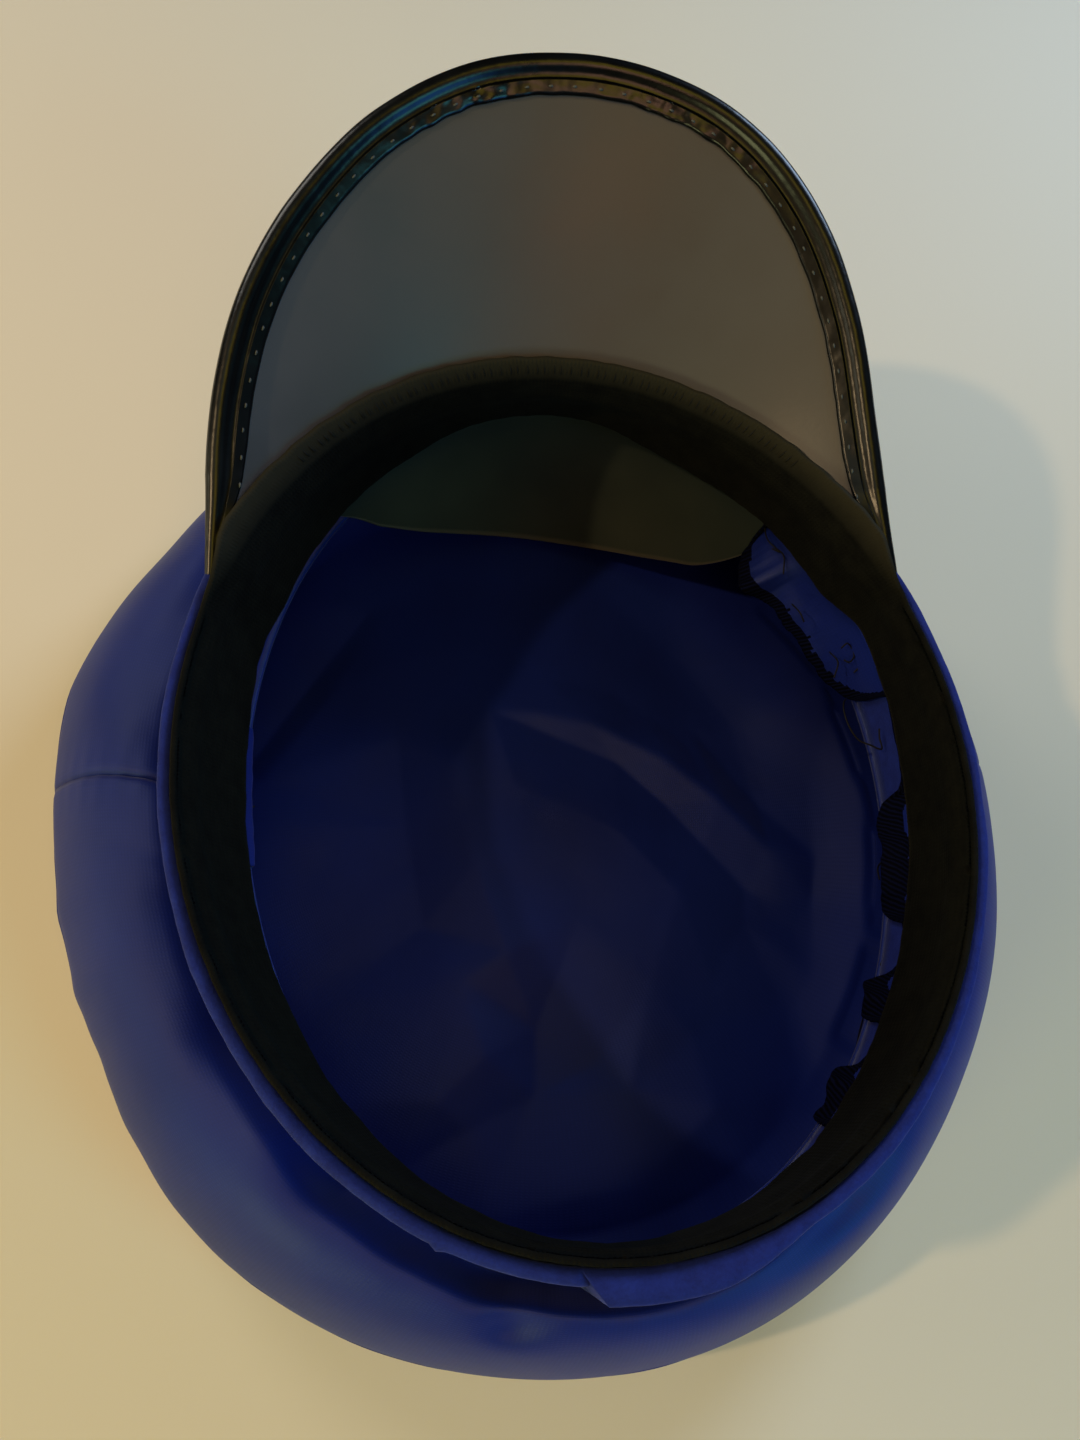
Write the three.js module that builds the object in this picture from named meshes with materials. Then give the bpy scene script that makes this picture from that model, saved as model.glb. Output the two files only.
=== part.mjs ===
import * as THREE from "three";

// Pilot hat lying upside down on its crown, in millimetres
// The floor is z = 0, the head opening faces +Z and the peak stands up towards +Y

const gap = 0.3;
const turn = Math.PI * 2;

// The rim of the band is an ellipse that slopes a little, higher at the back
const rim = { halfWidth: 84.2, halfLength: 102.9, height: 90.4, slopeX: 0.04, slopeY: -0.06 };

// The band leans forward and to the right as it goes down to the crown
const bandHeight = 38;
const bandBase = { halfWidth: 78.6, halfLength: 108.6, shiftX: 4.7, shiftY: 7.9 };
const bandWall = 2.8;
const bandLap = { fullTo: 277, mergedAt: 292, innerEnd: 635, out: 3.2 };
const lapColumns = [263, 269, 275.4, 278.4, 283, 287.5];

// The crown is an oval of two cloth layers, sewn together at its widest line
const crown = { halfWidth: 123.8, halfLength: 136.7, centreX: 2.4, centreY: 13.2, seamHeight: 23.8 };
const crownWall = 1.4;
const crownFlat = 0.79;
const sideSeamHalf = 0.0022;
const leftSeamTurn = { angle: 180, spread: 40, turn: 3 };

// How far the crown's outline stands out of its oval, by the angle round it
const crownOutline = [
  { angle: 0, out: 1.8 },
  { angle: 30, out: 0.5 },
  { angle: 60, out: 0 },
  { angle: 120, out: -1.5 },
  { angle: 146, out: -3.5 },
  { angle: 158, out: -0.6 },
  { angle: 168, out: 1.2 },
  { angle: 180, out: -0.1 },
  { angle: 188, out: -0.9 },
  { angle: 200, out: 0.4 },
  { angle: 240, out: 0.9 },
  { angle: 262, out: -0.2 },
  { angle: 288, out: 0.5 },
  { angle: 320, out: -0.4 },
  { angle: 345, out: 1.2 },
  { angle: 360, out: 1.8 },
];

// Folds pressed into the crown's top panel, as bowed ridges that rise from the floor
const topFolds = [
  { x1: -5, y1: 41, x2: 91, y2: -23, bow: 13, height: 3.6, width: 7 },
  { x1: -41, y1: 62, x2: -31, y2: -19, bow: -4, height: 2.0, width: 8 },
  { x1: -35, y1: -80, x2: 13, y2: -58, bow: 2, height: 2.2, width: 7 },
  { x1: -77, y1: 27, x2: -46, y2: 76, bow: 5, height: 2.6, width: 9 },
  { x1: 44, y1: -18, x2: 50, y2: -64, bow: 3, height: 2.0, width: 8 },
];

// Dents where the side panel sinks beside the band
const sideDents = [
  { angle: 150, spread: 9, depth: 3.5, across: 0.72 },
  { angle: 208, spread: 7, depth: 5.0, across: 0.74 },
  { angle: 230, spread: 6, depth: 3.5, across: 0.7 },
  { angle: 252, spread: 8, depth: 4.5, across: 0.76 },
  { angle: 300, spread: 9, depth: 3.0, across: 0.7 },
  { angle: 338, spread: 9, depth: 3.0, across: 0.7 },
];

// The black tape inside the band, its free lower edge leaning in by the angle
const tapeWidth = 27;
const tapeWall = 1.2;
const tapeLean = [
  { angle: 0, lean: 0.4 },
  { angle: 30, lean: 1.6 },
  { angle: 60, lean: 2.8 },
  { angle: 90, lean: 0.6 },
  { angle: 120, lean: 0.8 },
  { angle: 150, lean: 1.4 },
  { angle: 180, lean: 3.4 },
  { angle: 210, lean: 2.0 },
  { angle: 240, lean: 0.5 },
  { angle: 270, lean: 0.4 },
  { angle: 300, lean: 0.4 },
  { angle: 330, lean: 0.4 },
  { angle: 360, lean: 0.4 },
];
const tapeLip = { length: 5.6, plain: 0.7, raise: 1.9 };

// The peak: how far its edge stands from the rim, by the angle round the rim
const peakWall = 1.6;
const peakSlope = THREE.MathUtils.degToRad(51);
const peakFlange = 8;
const peakRise = 1.2;
const peakEnds = { right: 28.5, left: 151.5 };
const peakColumns = 38;
const peakDepth = [
  { angle: 24, depth: 0 },
  { angle: 30, depth: 6.4 },
  { angle: 40, depth: 19.2 },
  { angle: 50, depth: 35.4 },
  { angle: 60, depth: 50.6 },
  { angle: 70, depth: 61.2 },
  { angle: 80, depth: 66.2 },
  { angle: 90, depth: 67.2 },
  { angle: 100, depth: 64.8 },
  { angle: 110, depth: 58.2 },
  { angle: 120, depth: 48.2 },
  { angle: 130, depth: 36.6 },
  { angle: 140, depth: 22.8 },
  { angle: 150, depth: 8.4 },
  { angle: 156, depth: 0 },
];

// The binding folded round the peak's edge: a bead with a groove and two flanges
const binding = {
  bead: 2.3,
  beadCentre: 0.7,
  flange: 5.4,
  endFlange: 3.1,
  slotGap: 0.45,
  wall: 0.8,
  groove: 0.3,
  ends: 2.2,
};

// The plastic stay at the front: it starts behind the tape and ends near the crown's top
const stay = { wall: 1.0, topDepth: 9.6, left: 137, right: 39, inset: 3.3, corner: 0.3, cornerFrom: 0.84 };
const stayFoot = { middle: 5, halfWidth: 55, y: 101.5, bow: 28, skew: -3.5, z: 8, rise: 43 };

// The raw seam edge that hangs in ruffles on the right inside
const ruffle = { from: -43, to: 37, topDepth: 28.6, height: 15, wall: 1.0, waves: 11, reach: 4.2 };

const lerp = THREE.MathUtils.lerp;
const rad = THREE.MathUtils.degToRad;

function bell(distance, spread) {
  return Math.exp(-(distance * distance) / (spread * spread));
}

// Smooth value between the rows of a table with an angle column in degrees
function fromTable(rows, key, degrees) {
  const last = rows.length - 1;
  if (degrees <= rows[0].angle) return rows[0][key];
  if (degrees >= rows[last].angle) return rows[last][key];
  const k = rows.findIndex((row) => row.angle > degrees) - 1;
  const before = rows[Math.max(k - 1, 0)];
  const a = rows[k];
  const b = rows[k + 1];
  const after = rows[Math.min(k + 2, last)];
  const span = b.angle - a.angle;
  const u = (degrees - a.angle) / span;
  const slopeA = ((b[key] - before[key]) / (b.angle - before.angle)) * span;
  const slopeB = ((after[key] - a[key]) / (after.angle - a.angle)) * span;
  const u2 = u * u;
  const u3 = u2 * u;
  const start = (2 * u3 - 3 * u2 + 1) * a[key] + (u3 - 2 * u2 + u) * slopeA;
  return start + (3 * u2 - 2 * u3) * b[key] + (u3 - u2) * slopeB;
}

// A point of the band: angle round the rim, depth below the rim, inset from the outer face
function onBand(angle, depth, inset) {
  const u = depth / bandHeight;
  const a = lerp(rim.halfWidth, bandBase.halfWidth, u);
  const b = lerp(rim.halfLength, bandBase.halfLength, u);
  const normal = new THREE.Vector3(b * Math.cos(angle), a * Math.sin(angle), 0).normalize();
  const x = bandBase.shiftX * u + a * Math.cos(angle);
  const y = bandBase.shiftY * u + b * Math.sin(angle);
  const slopeX = rim.slopeX * rim.halfWidth * Math.cos(angle);
  const slopeY = rim.slopeY * rim.halfLength * Math.sin(angle);
  const z = rim.height + slopeX + slopeY - depth;
  return new THREE.Vector3(x, y, z).addScaledVector(normal, -inset);
}

// One closed body from vertices and faces, turned so that it faces out
function bodyFrom(vertices, faces, name, material) {
  let volume = 0;
  for (const [i, j, k] of faces) {
    const a = vertices[i];
    const b = vertices[j];
    const c = vertices[k];
    volume += a.dot(new THREE.Vector3().crossVectors(b, c));
  }
  const order = volume < 0 ? [0, 2, 1] : [0, 1, 2];
  const index = faces.flatMap((face) => order.map((corner) => face[corner]));
  const geometry = new THREE.BufferGeometry();
  const positions = vertices.flatMap((v) => [v.x, v.y, v.z]);
  geometry.setAttribute("position", new THREE.Float32BufferAttribute(positions, 3));
  geometry.setIndex(index);
  geometry.computeVertexNormals();
  const mesh = new THREE.Mesh(geometry, material);
  mesh.name = name;
  return mesh;
}

// A wall between two grids of points: columns run along the piece, rows across it
// A closed wall joins its last column to its first, and a pole closes the first row to a point
function wallFrom(name, material, outer, inner, { closed = false, pole = false } = {}) {
  const columns = outer.length;
  const rows = outer[0].length;
  const vertices = [];
  const faces = [];
  const ids = [outer, inner].map((grid) => {
    const poleId = pole ? vertices.push(grid[0][0]) - 1 : -1;
    return grid.map((column) =>
      column.map((point, j) => (pole && j === 0 ? poleId : vertices.push(point) - 1)),
    );
  });
  const quad = (a, b, c, d) => {
    if (a !== b) faces.push([a, b, c]);
    if (c !== d) faces.push([a, c, d]);
  };
  const spans = closed ? columns : columns - 1;
  for (let i = 0; i < spans; i++) {
    const n = (i + 1) % columns;
    for (let j = 0; j < rows - 1; j++) {
      quad(ids[0][i][j], ids[0][n][j], ids[0][n][j + 1], ids[0][i][j + 1]);
      quad(ids[1][n][j], ids[1][i][j], ids[1][i][j + 1], ids[1][n][j + 1]);
    }
    const last = rows - 1;
    quad(ids[0][i][last], ids[0][n][last], ids[1][n][last], ids[1][i][last]);
    if (!pole) quad(ids[0][n][0], ids[0][i][0], ids[1][i][0], ids[1][n][0]);
  }
  if (!closed) {
    for (let j = 0; j < rows - 1; j++) {
      quad(ids[0][0][j], ids[0][0][j + 1], ids[1][0][j + 1], ids[1][0][j]);
      const e = columns - 1;
      quad(ids[0][e][j + 1], ids[0][e][j], ids[1][e][j], ids[1][e][j + 1]);
    }
  }
  return bodyFrom(vertices, faces, name, material);
}

// The same grid moved along its own normals, level in the rows named flat
function movedGrid(grid, distance, { closed = false, flat = [] } = {}) {
  const columns = grid.length;
  const rows = grid[0].length;
  return grid.map((column, i) =>
    column.map((point, j) => {
      const before = closed ? (i + columns - 1) % columns : Math.max(i - 1, 0);
      const after = closed ? (i + 1) % columns : Math.min(i + 1, columns - 1);
      const row = Math.max(j, 1);
      const along = new THREE.Vector3().subVectors(grid[after][row], grid[before][row]);
      const up = new THREE.Vector3();
      up.subVectors(column[Math.min(j + 1, rows - 1)], column[Math.max(j - 1, 0)]);
      const normal = new THREE.Vector3().crossVectors(along, up);
      if (flat.includes(j)) normal.z = 0;
      return point.clone().addScaledVector(normal.normalize(), distance);
    }),
  );
}

function angleSteps(from, to, count, closed = false) {
  const spans = closed ? count : count - 1;
  return Array.from({ length: count }, (_, i) => lerp(from, to, i / spans));
}

// A point of the crown's oval at a height, with reach 1 at the widest line
function onCrown(angle, reach, z) {
  const degrees = THREE.MathUtils.radToDeg(angle);
  const out = fromTable(crownOutline, "out", degrees) * reach;
  const x = crown.centreX + (crown.halfWidth * reach + out) * Math.cos(angle);
  const y = crown.centreY + (crown.halfLength * reach + out) * Math.sin(angle);
  return new THREE.Vector3(x, y, z);
}

// Height of the top panel's folds above the floor at a point
function foldHeight(x, y) {
  let height = 0;
  for (const fold of topFolds) {
    const dx = fold.x2 - fold.x1;
    const dy = fold.y2 - fold.y1;
    const length = Math.hypot(dx, dy);
    const along = ((x - fold.x1) * dx + (y - fold.y1) * dy) / (length * length);
    const side = ((y - fold.y1) * dx - (x - fold.x1) * dy) / length;
    const bow = fold.bow * 4 * along * (1 - along);
    const fade = THREE.MathUtils.smoothstep(0.62 - Math.abs(along - 0.5), 0, 0.3);
    height = Math.max(height, fold.height * fade * bell(side - bow, fold.width));
  }
  return height < 0.05 ? 0 : height;
}

// Top panel: flat on the floor, then curved up to the widest line
function crownTop(material) {
  const rings = [0, 0.12, 0.23, 0.33, 0.42, 0.51, 0.6, 0.68, 0.74, crownFlat];
  const steepest = rad(64);
  const curve = [0.28, 0.54, 0.78, 1].map((part) => steepest * part);
  const top = crown.seamHeight - gap / 2;
  const outer = angleSteps(0, turn, 60, true).map((angle) => {
    const at = (reach, z) => {
      const point = onCrown(angle, reach, z);
      point.z += foldHeight(point.x, point.y);
      return point;
    };
    const flat = rings.map((reach) => at(reach, 0));
    const wall = curve.map((lift) => {
      const reach = crownFlat + ((1 - crownFlat) * Math.sin(lift)) / Math.sin(steepest);
      return at(reach, (top * (1 - Math.cos(lift))) / (1 - Math.cos(steepest)));
    });
    return [...flat, ...wall];
  });
  const lastRow = outer[0].length - 1;
  const inner = movedGrid(outer, -crownWall, { closed: true, flat: [lastRow] });
  const centre = new THREE.Vector3(crown.centreX, crown.centreY, crownWall);
  inner.forEach((column) => column[0].copy(centre));
  return wallFrom("crown_top", material, outer, inner, { closed: true, pole: true });
}

// Side panel between the widest line and the band, over a part of the circle
function sidePanel(name, from, to, material) {
  const seam = crown.seamHeight + gap / 2;
  const steps = [0, 0.12, 0.26, 0.42, 0.58, 0.74, 0.88, 1];
  const outer = angleSteps(from, to, 34).map((angle) => {
    const edge = onCrown(angle, 1, seam);
    const away = THREE.MathUtils.radToDeg(angle) - leftSeamTurn.angle;
    const inner = angle + rad(leftSeamTurn.turn) * bell(away, leftSeamTurn.spread);
    const top = onBand(inner, bandHeight + gap, -0.4);
    const bulge = new THREE.Vector3().lerpVectors(edge, top, 0.26);
    bulge.z = top.z + 1;
    const column = steps.map((v) => {
      const point = edge.clone().multiplyScalar((1 - v) * (1 - v));
      point.addScaledVector(bulge, 2 * v * (1 - v)).addScaledVector(top, v * v);
      for (const dent of sideDents) {
        const beside = THREE.MathUtils.radToDeg(angle) - dent.angle;
        const ends = Math.sin(Math.PI * v);
        point.z -= dent.depth * bell(beside, dent.spread) * bell(v - dent.across, 0.2) * ends;
      }
      return point;
    });
    return [...column, onBand(inner, bandHeight + gap, bandWall)];
  });
  const inner = movedGrid(outer, -crownWall, { flat: [0] });
  inner.forEach((column, i) => {
    const last = column.length - 1;
    column[last].copy(outer[i][last]);
    column[last].z -= crownWall;
  });
  return wallFrom(name, material, outer, inner);
}

// The band is one strip whose outer end laps over its inner end at the back
// Past the inner end the strip is thick, and thins out to the plain wall
function band(material) {
  const { fullTo, mergedAt, innerEnd, out } = bandLap;
  const rows = [
    { depth: bandHeight, round: 0 },
    { depth: bandHeight / 2, round: 0 },
    { depth: 1.1, round: 0 },
    { depth: 0, round: 0.8 },
  ];
  const angles = [...lapColumns, ...angleSteps(mergedAt, innerEnd, 66)];
  const gridAt = (inset, side) =>
    angles.map((degrees) => {
      const over = 1 - THREE.MathUtils.smoothstep(degrees, lapColumns[2], lapColumns[3]);
      const outer = 1 - THREE.MathUtils.smoothstep(degrees, fullTo, mergedAt);
      const lap = out * (inset > 0 ? over : outer);
      return rows.map((row) => onBand(rad(degrees), row.depth, inset - lap + side * row.round));
    });
  return wallFrom("band", material, gridAt(0, 1), gridAt(bandWall, -1));
}

// How much of the peak's arc an angle lies in, from 0 outside to 1 inside
function inPeakArc(degrees, from, to) {
  const rise = THREE.MathUtils.smoothstep(degrees, from, to);
  return rise * (1 - THREE.MathUtils.smoothstep(degrees, 180 - to, 180 - from));
}

// The tape lies inside the band and turns out over the peak's base in a lip
function sweatband(material) {
  const angles = angleSteps(0, 360, 60, true);
  const slope = THREE.MathUtils.degToRad(48);
  const gridAt = (side) =>
    angles.map((degrees) => {
      const arc = inPeakArc(degrees, 10, 19);
      const lip = inPeakArc(degrees, 28, 40);
      const inset = bandWall + gap + arc * (peakWall + 2 * gap) + side * tapeWall;
      const lean = fromTable(tapeLean, "lean", degrees);
      const angle = rad(degrees);
      const raise = lerp(0.2, tapeLip.raise, arc);
      const length = lerp(tapeLip.plain, tapeLip.length, lip);
      const outward = lip * Math.cos(slope);
      const upward = lerp(1, Math.sin(slope), lip);
      const lift = side * lip * tapeWall * 0.45;
      return [
        onBand(angle, tapeWidth, inset + lean),
        onBand(angle, tapeWidth * 0.55, inset + lean * 0.4),
        onBand(angle, 2.5, inset),
        onBand(angle, -raise - lift, inset),
        onBand(angle, -raise - lift - length * 0.5 * upward, inset - length * 0.5 * outward),
        onBand(angle, -raise - lift - length * upward, inset - length * outward),
      ];
    });
  return wallFrom("sweatband", material, gridAt(0), gridAt(1), { closed: true });
}

// The line that the finished edge of the peak follows, by angle in degrees
function peakOutline(degrees) {
  const angle = rad(degrees);
  const depth = Math.max(fromTable(peakDepth, "depth", degrees), 0);
  const rise = Math.max(depth * Math.sin(peakSlope), peakRise);
  return onBand(angle, -rise, -depth * Math.cos(peakSlope)).sub(bandDrift(angle, rise));
}

// The band's own lean, taken off above the rim so that the peak starts from the rim line
function bandDrift(angle, rise) {
  return onBand(angle, -rise, 0).sub(onBand(angle, 0, 0)).setZ(0);
}

function peakFoot(degrees) {
  return onBand(rad(degrees), -peakRise, bandWall + gap + peakWall / 2);
}

// Edge of the plate and its own axes: along the edge, outward in the plate, and across it
function peakEdge(degrees) {
  const point = peakOutline(degrees);
  const along = peakOutline(degrees + 0.5).sub(peakOutline(degrees - 0.5)).normalize();
  const ruling = point.clone().sub(peakFoot(degrees)).normalize();
  const across = new THREE.Vector3().crossVectors(ruling, along).normalize();
  const outward = new THREE.Vector3().crossVectors(along, across).normalize();
  const reach = binding.beadCentre + binding.bead;
  return { point: point.addScaledVector(outward, -reach), along, outward, across };
}

function peak(material) {
  const middle = angleSteps(peakEnds.right, peakEnds.left, peakColumns).map((degrees) => {
    const foot = peakFoot(degrees);
    const edge = peakEdge(degrees).point;
    const inset = bandWall + gap + peakWall / 2;
    const flange = [peakFlange, peakFlange * 0.3].map((depth) => onBand(rad(degrees), depth, inset));
    const plate = [0.07, 0.3, 0.55, 0.8, 1].map((v) => new THREE.Vector3().lerpVectors(foot, edge, v));
    return [...flange, foot, ...plate];
  });
  const outer = movedGrid(middle, peakWall / 2);
  const inner = movedGrid(middle, -peakWall / 2);
  return wallFrom("peak", material, outer, inner);
}

// Section of the binding: x points out from the plate's edge and y across the plate
function bindingSection(flange) {
  const { bead, beadCentre, slotGap, wall, groove } = binding;
  const slot = peakWall / 2 + slotGap;
  const face = slot + wall;
  const upper = [
    [-flange, slot],
    [-flange, face - 0.2],
    [-2.6, face],
    [-1.9, face - groove],
  ];
  const round = angleSteps(125, -125, 7).map((degrees) => [
    beadCentre + bead * Math.cos(rad(degrees)),
    bead * Math.sin(rad(degrees)),
  ]);
  const lower = upper.map(([x, y]) => [x, -y]).reverse();
  return [...upper, ...round, ...lower, [gap, -slot], [gap, slot]];
}

function peakBinding(material) {
  const section = bindingSection(binding.flange);
  const { right, left } = peakEnds;
  const angles = angleSteps(right + binding.ends, left - binding.ends, peakColumns);
  const vertices = angles.flatMap((degrees) => {
    const { point, outward, across } = peakEdge(degrees);
    const flange = lerp(binding.endFlange, binding.flange, inPeakArc(degrees, 27, 40));
    const at = ([x, y]) => point.clone().addScaledVector(outward, x).addScaledVector(across, y);
    return bindingSection(flange).map(at);
  });
  const count = section.length;
  const faces = [];
  for (let i = 0; i < angles.length - 1; i++) {
    for (let j = 0; j < count; j++) {
      const k = (j + 1) % count;
      const a = i * count;
      const b = a + count;
      faces.push([a + j, b + j, b + k], [a + j, b + k, a + k]);
    }
  }
  const flat = section.map(([x, y]) => new THREE.Vector2(x, y));
  const end = (angles.length - 1) * count;
  for (const [i, j, k] of THREE.ShapeUtils.triangulateShape(flat, [])) {
    const clockwise = THREE.ShapeUtils.area(flat) < 0;
    const cap = clockwise ? [i, k, j] : [i, j, k];
    faces.push([cap[0], cap[1], cap[2]]);
    faces.push([end + cap[0], end + cap[2], end + cap[1]]);
  }
  return bodyFrom(vertices, faces, "peak_binding", material);
}

// A thin plate that follows the band behind the tape, then curves down to the crown
function frontStay(material) {
  const rows = [0, 0.2, 0.45, 0.7, 0.88, 1];
  const inset = stay.inset + stay.wall / 2;
  const middle = angleSteps(-1, 1, 23).map((side) => {
    const angle = rad(lerp(stay.left, stay.right, (side + 1) / 2));
    const depths = [stay.topDepth, (stay.topDepth + tapeWidth) / 2];
    const upper = depths.map((depth) => onBand(angle, depth, inset));
    const bend = onBand(angle, tapeWidth - 1, inset);
    const pull = onBand(angle, lerp(bandHeight + 5, tapeWidth + 2, side * side), inset + 0.5);
    const x = stayFoot.middle + stayFoot.halfWidth * side;
    const y = stayFoot.y - stayFoot.bow * side * side + stayFoot.skew * side;
    const foot = new THREE.Vector3(x, y, stayFoot.z + stayFoot.rise * side * side);
    const past = Math.max(Math.abs(side) - stay.cornerFrom, 0) / (1 - stay.cornerFrom);
    const end = 1 - stay.corner * (1 - Math.sqrt(1 - past * past));
    const lower = rows.map((row) => {
      const v = row * end;
      const point = bend.clone().multiplyScalar((1 - v) * (1 - v));
      return point.addScaledVector(pull, 2 * v * (1 - v)).addScaledVector(foot, v * v);
    });
    return [...upper, ...lower];
  });
  const outer = movedGrid(middle, stay.wall / 2);
  const inner = movedGrid(middle, -stay.wall / 2);
  return wallFrom("front_stay", material, outer, inner);
}

// The raw edge hangs below the tape and swings in and out in uneven ruffles
function seamAllowance(material) {
  const rows = [0, 0.5, 1];
  const outer = angleSteps(ruffle.from, ruffle.to, 50).map((degrees, i, all) => {
    const phase = (i / (all.length - 1)) * ruffle.waves * Math.PI;
    const swing = 0.5 + 0.5 * Math.sin(phase) * Math.sin(phase * 0.37 + 1);
    const length = ruffle.height * (0.75 + 0.25 * Math.sin(phase * 0.5 + 2));
    return rows.map((row) => {
      const inset = bandWall + gap + 0.1 + ruffle.reach * swing * row * row + 0.8 * row;
      return onBand(rad(degrees), ruffle.topDepth + length * row, inset);
    });
  });
  const inner = movedGrid(outer, ruffle.wall);
  return wallFrom("seam_allowance", material, outer, inner);
}

function finish(color, roughness, metalness = 0) {
  return new THREE.MeshStandardMaterial({ color, roughness, metalness });
}

const blueCloth = finish("#2b3a8c", 0.75);
const bandCloth = finish("#2d3f9a", 0.7);
const blackTape = finish("#15150f", 0.85);
const greyPlastic = finish("#45433c", 0.55);
const blackVinyl = finish("#0c0d0e", 0.18);
const darkPlastic = finish("#33302a", 0.5);

const hat = new THREE.Group();
hat.name = "pilot_hat";
hat.add(
  crownTop(blueCloth),
  sidePanel("side_panel_front", sideSeamHalf, Math.PI - sideSeamHalf, blueCloth),
  sidePanel("side_panel_back", Math.PI + sideSeamHalf, turn - sideSeamHalf, blueCloth),
  band(bandCloth),
  sweatband(blackTape),
  peak(greyPlastic),
  peakBinding(blackVinyl),
  frontStay(darkPlastic),
  seamAllowance(blueCloth),
);

export default hat;
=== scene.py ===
import math

import bpy
import numpy as np
from mathutils import Matrix, Vector, geometry, noise


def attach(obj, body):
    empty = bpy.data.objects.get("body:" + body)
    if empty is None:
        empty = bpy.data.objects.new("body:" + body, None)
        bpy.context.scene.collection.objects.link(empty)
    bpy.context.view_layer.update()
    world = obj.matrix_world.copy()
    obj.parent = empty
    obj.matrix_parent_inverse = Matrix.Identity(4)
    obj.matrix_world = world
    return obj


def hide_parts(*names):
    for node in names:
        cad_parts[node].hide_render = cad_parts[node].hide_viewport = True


# Pilot hat lying on its crown. Shapes are worked out in millimetres and put down in metres
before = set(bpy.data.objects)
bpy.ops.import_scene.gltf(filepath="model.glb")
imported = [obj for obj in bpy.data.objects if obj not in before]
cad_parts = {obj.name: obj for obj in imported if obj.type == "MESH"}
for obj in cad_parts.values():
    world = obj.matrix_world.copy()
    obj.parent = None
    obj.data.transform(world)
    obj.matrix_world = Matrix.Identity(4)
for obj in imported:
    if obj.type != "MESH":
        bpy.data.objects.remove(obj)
for name in ("Cube", "Light", "Camera"):
    if name in bpy.data.objects:
        bpy.data.objects.remove(bpy.data.objects[name])
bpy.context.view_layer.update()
print("frame loaded:", len(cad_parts), "nodes")

mm = 0.001
gap = 0.3  # between pieces that touch


def putObject(name, data):
    made = bpy.data.objects.new(name, data)
    bpy.context.scene.collection.objects.link(made)
    return made


# Camera, at the photo's angle
camera = {
    "place": (-43.3, -93.4, 287.5),
    "right": (0.9875, -0.0687, 0.1416),
    "down": (-0.0009, -0.9022, -0.4312),
    "lens": 27.0,
    "sensor": 36.0,
}


def addCamera():
    right = Vector(camera["right"]).normalized()
    ahead = right.cross(Vector(camera["down"])).normalized()
    up = -ahead.cross(right).normalized()
    turn = Matrix((right, up, -ahead)).transposed().to_4x4()
    data = bpy.data.cameras.new("photoCamera")
    data.lens = camera["lens"]
    data.sensor_width = camera["sensor"]
    data.clip_start, data.clip_end = 0.01, 20
    eye = putObject("photoCamera", data)
    eye.matrix_world = Matrix.Translation(Vector(camera["place"]) * mm) @ turn
    bpy.context.scene.camera = eye


# Shape helpers
def smooth(value, start, end):
    t = np.clip((np.asarray(value, float) - start) / (end - start), 0, 1)
    return t * t * (3 - 2 * t)


def bell(distance, spread):
    return np.exp(-((np.asarray(distance, float) / spread) ** 2))


def fromTable(rows, at):
    rows = np.asarray(rows, float)
    x, y = rows[:, 0], rows[:, 1]
    at = np.asarray(at, float)
    k = np.clip(np.searchsorted(x, at, side="right") - 1, 0, len(x) - 2)
    before, after = np.maximum(k - 1, 0), np.minimum(k + 2, len(x) - 1)
    span = x[k + 1] - x[k]
    u = np.clip((at - x[k]) / span, 0, 1)
    slopeA = (y[k + 1] - y[before]) / (x[k + 1] - x[before]) * span
    slopeB = (y[after] - y[k]) / (x[after] - x[k]) * span
    start = (2 * u**3 - 3 * u**2 + 1) * y[k] + (u**3 - 2 * u**2 + u) * slopeA
    return start + (3 * u**2 - 2 * u**3) * y[k + 1] + (u**3 - u**2) * slopeB


def ripple(points, size, seed=0):  # smooth noise from -1 to 1 with lumps of that size
    flat = np.asarray(points, float).reshape(-1, 3) / size + seed * 17.3
    values = [noise.noise(Vector(p)) for p in flat.tolist()]
    return np.array(values).reshape(np.shape(points)[:-1])


def unit(vectors):
    return vectors / np.maximum(np.linalg.norm(vectors, axis=-1, keepdims=True), 1e-9)


def runAlong(grid):  # mm from the first row of the points to each
    steps = np.linalg.norm(np.diff(grid, axis=0), axis=-1)
    return np.concatenate([[0], steps.reshape(len(steps), -1).mean(1).cumsum()])


def gridNormals(grid, closed=False):
    if closed:
        along = np.roll(grid, -1, 0) - np.roll(grid, 1, 0)
    else:
        along = np.gradient(grid, axis=0)
    return unit(np.cross(along, np.gradient(grid, axis=1)))


def ribbon(middle, wall, closed=False):  # loops round a sheet of that thickness, with round edges
    half = gridNormals(middle, closed) * wall / 2
    first = middle[:, :1] + unit(middle[:, :1] - middle[:, 1:2]) * wall / 2
    last = middle[:, -1:] + unit(middle[:, -1:] - middle[:, -2:-1]) * wall / 2
    return np.concatenate([middle + half, last, (middle - half)[:, ::-1], first], axis=1)


def addPiece(name, vertices, faces, materials, corners=None, faceSlots=None, edge=None):
    mesh = bpy.data.meshes.new(name)
    mesh.from_pydata((np.asarray(vertices) * mm).tolist(), [], faces)
    if corners is not None:
        layer = mesh.uv_layers.new(name="cloth")
        layer.data.foreach_set("uv", np.asarray(corners, np.float32).ravel())
    if edge is not None:
        layer = mesh.attributes.new("edge", "FLOAT", "POINT")
        layer.data.foreach_set("value", np.asarray(edge, np.float32).ravel())
    for material in materials:
        mesh.materials.append(material)
    if faceSlots is not None:
        mesh.polygons.foreach_set("material_index", np.asarray(faceSlots, np.int32))
    mesh.shade_smooth()
    mesh.update()
    piece = putObject(name, mesh)
    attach(piece, "root")
    return piece


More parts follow.
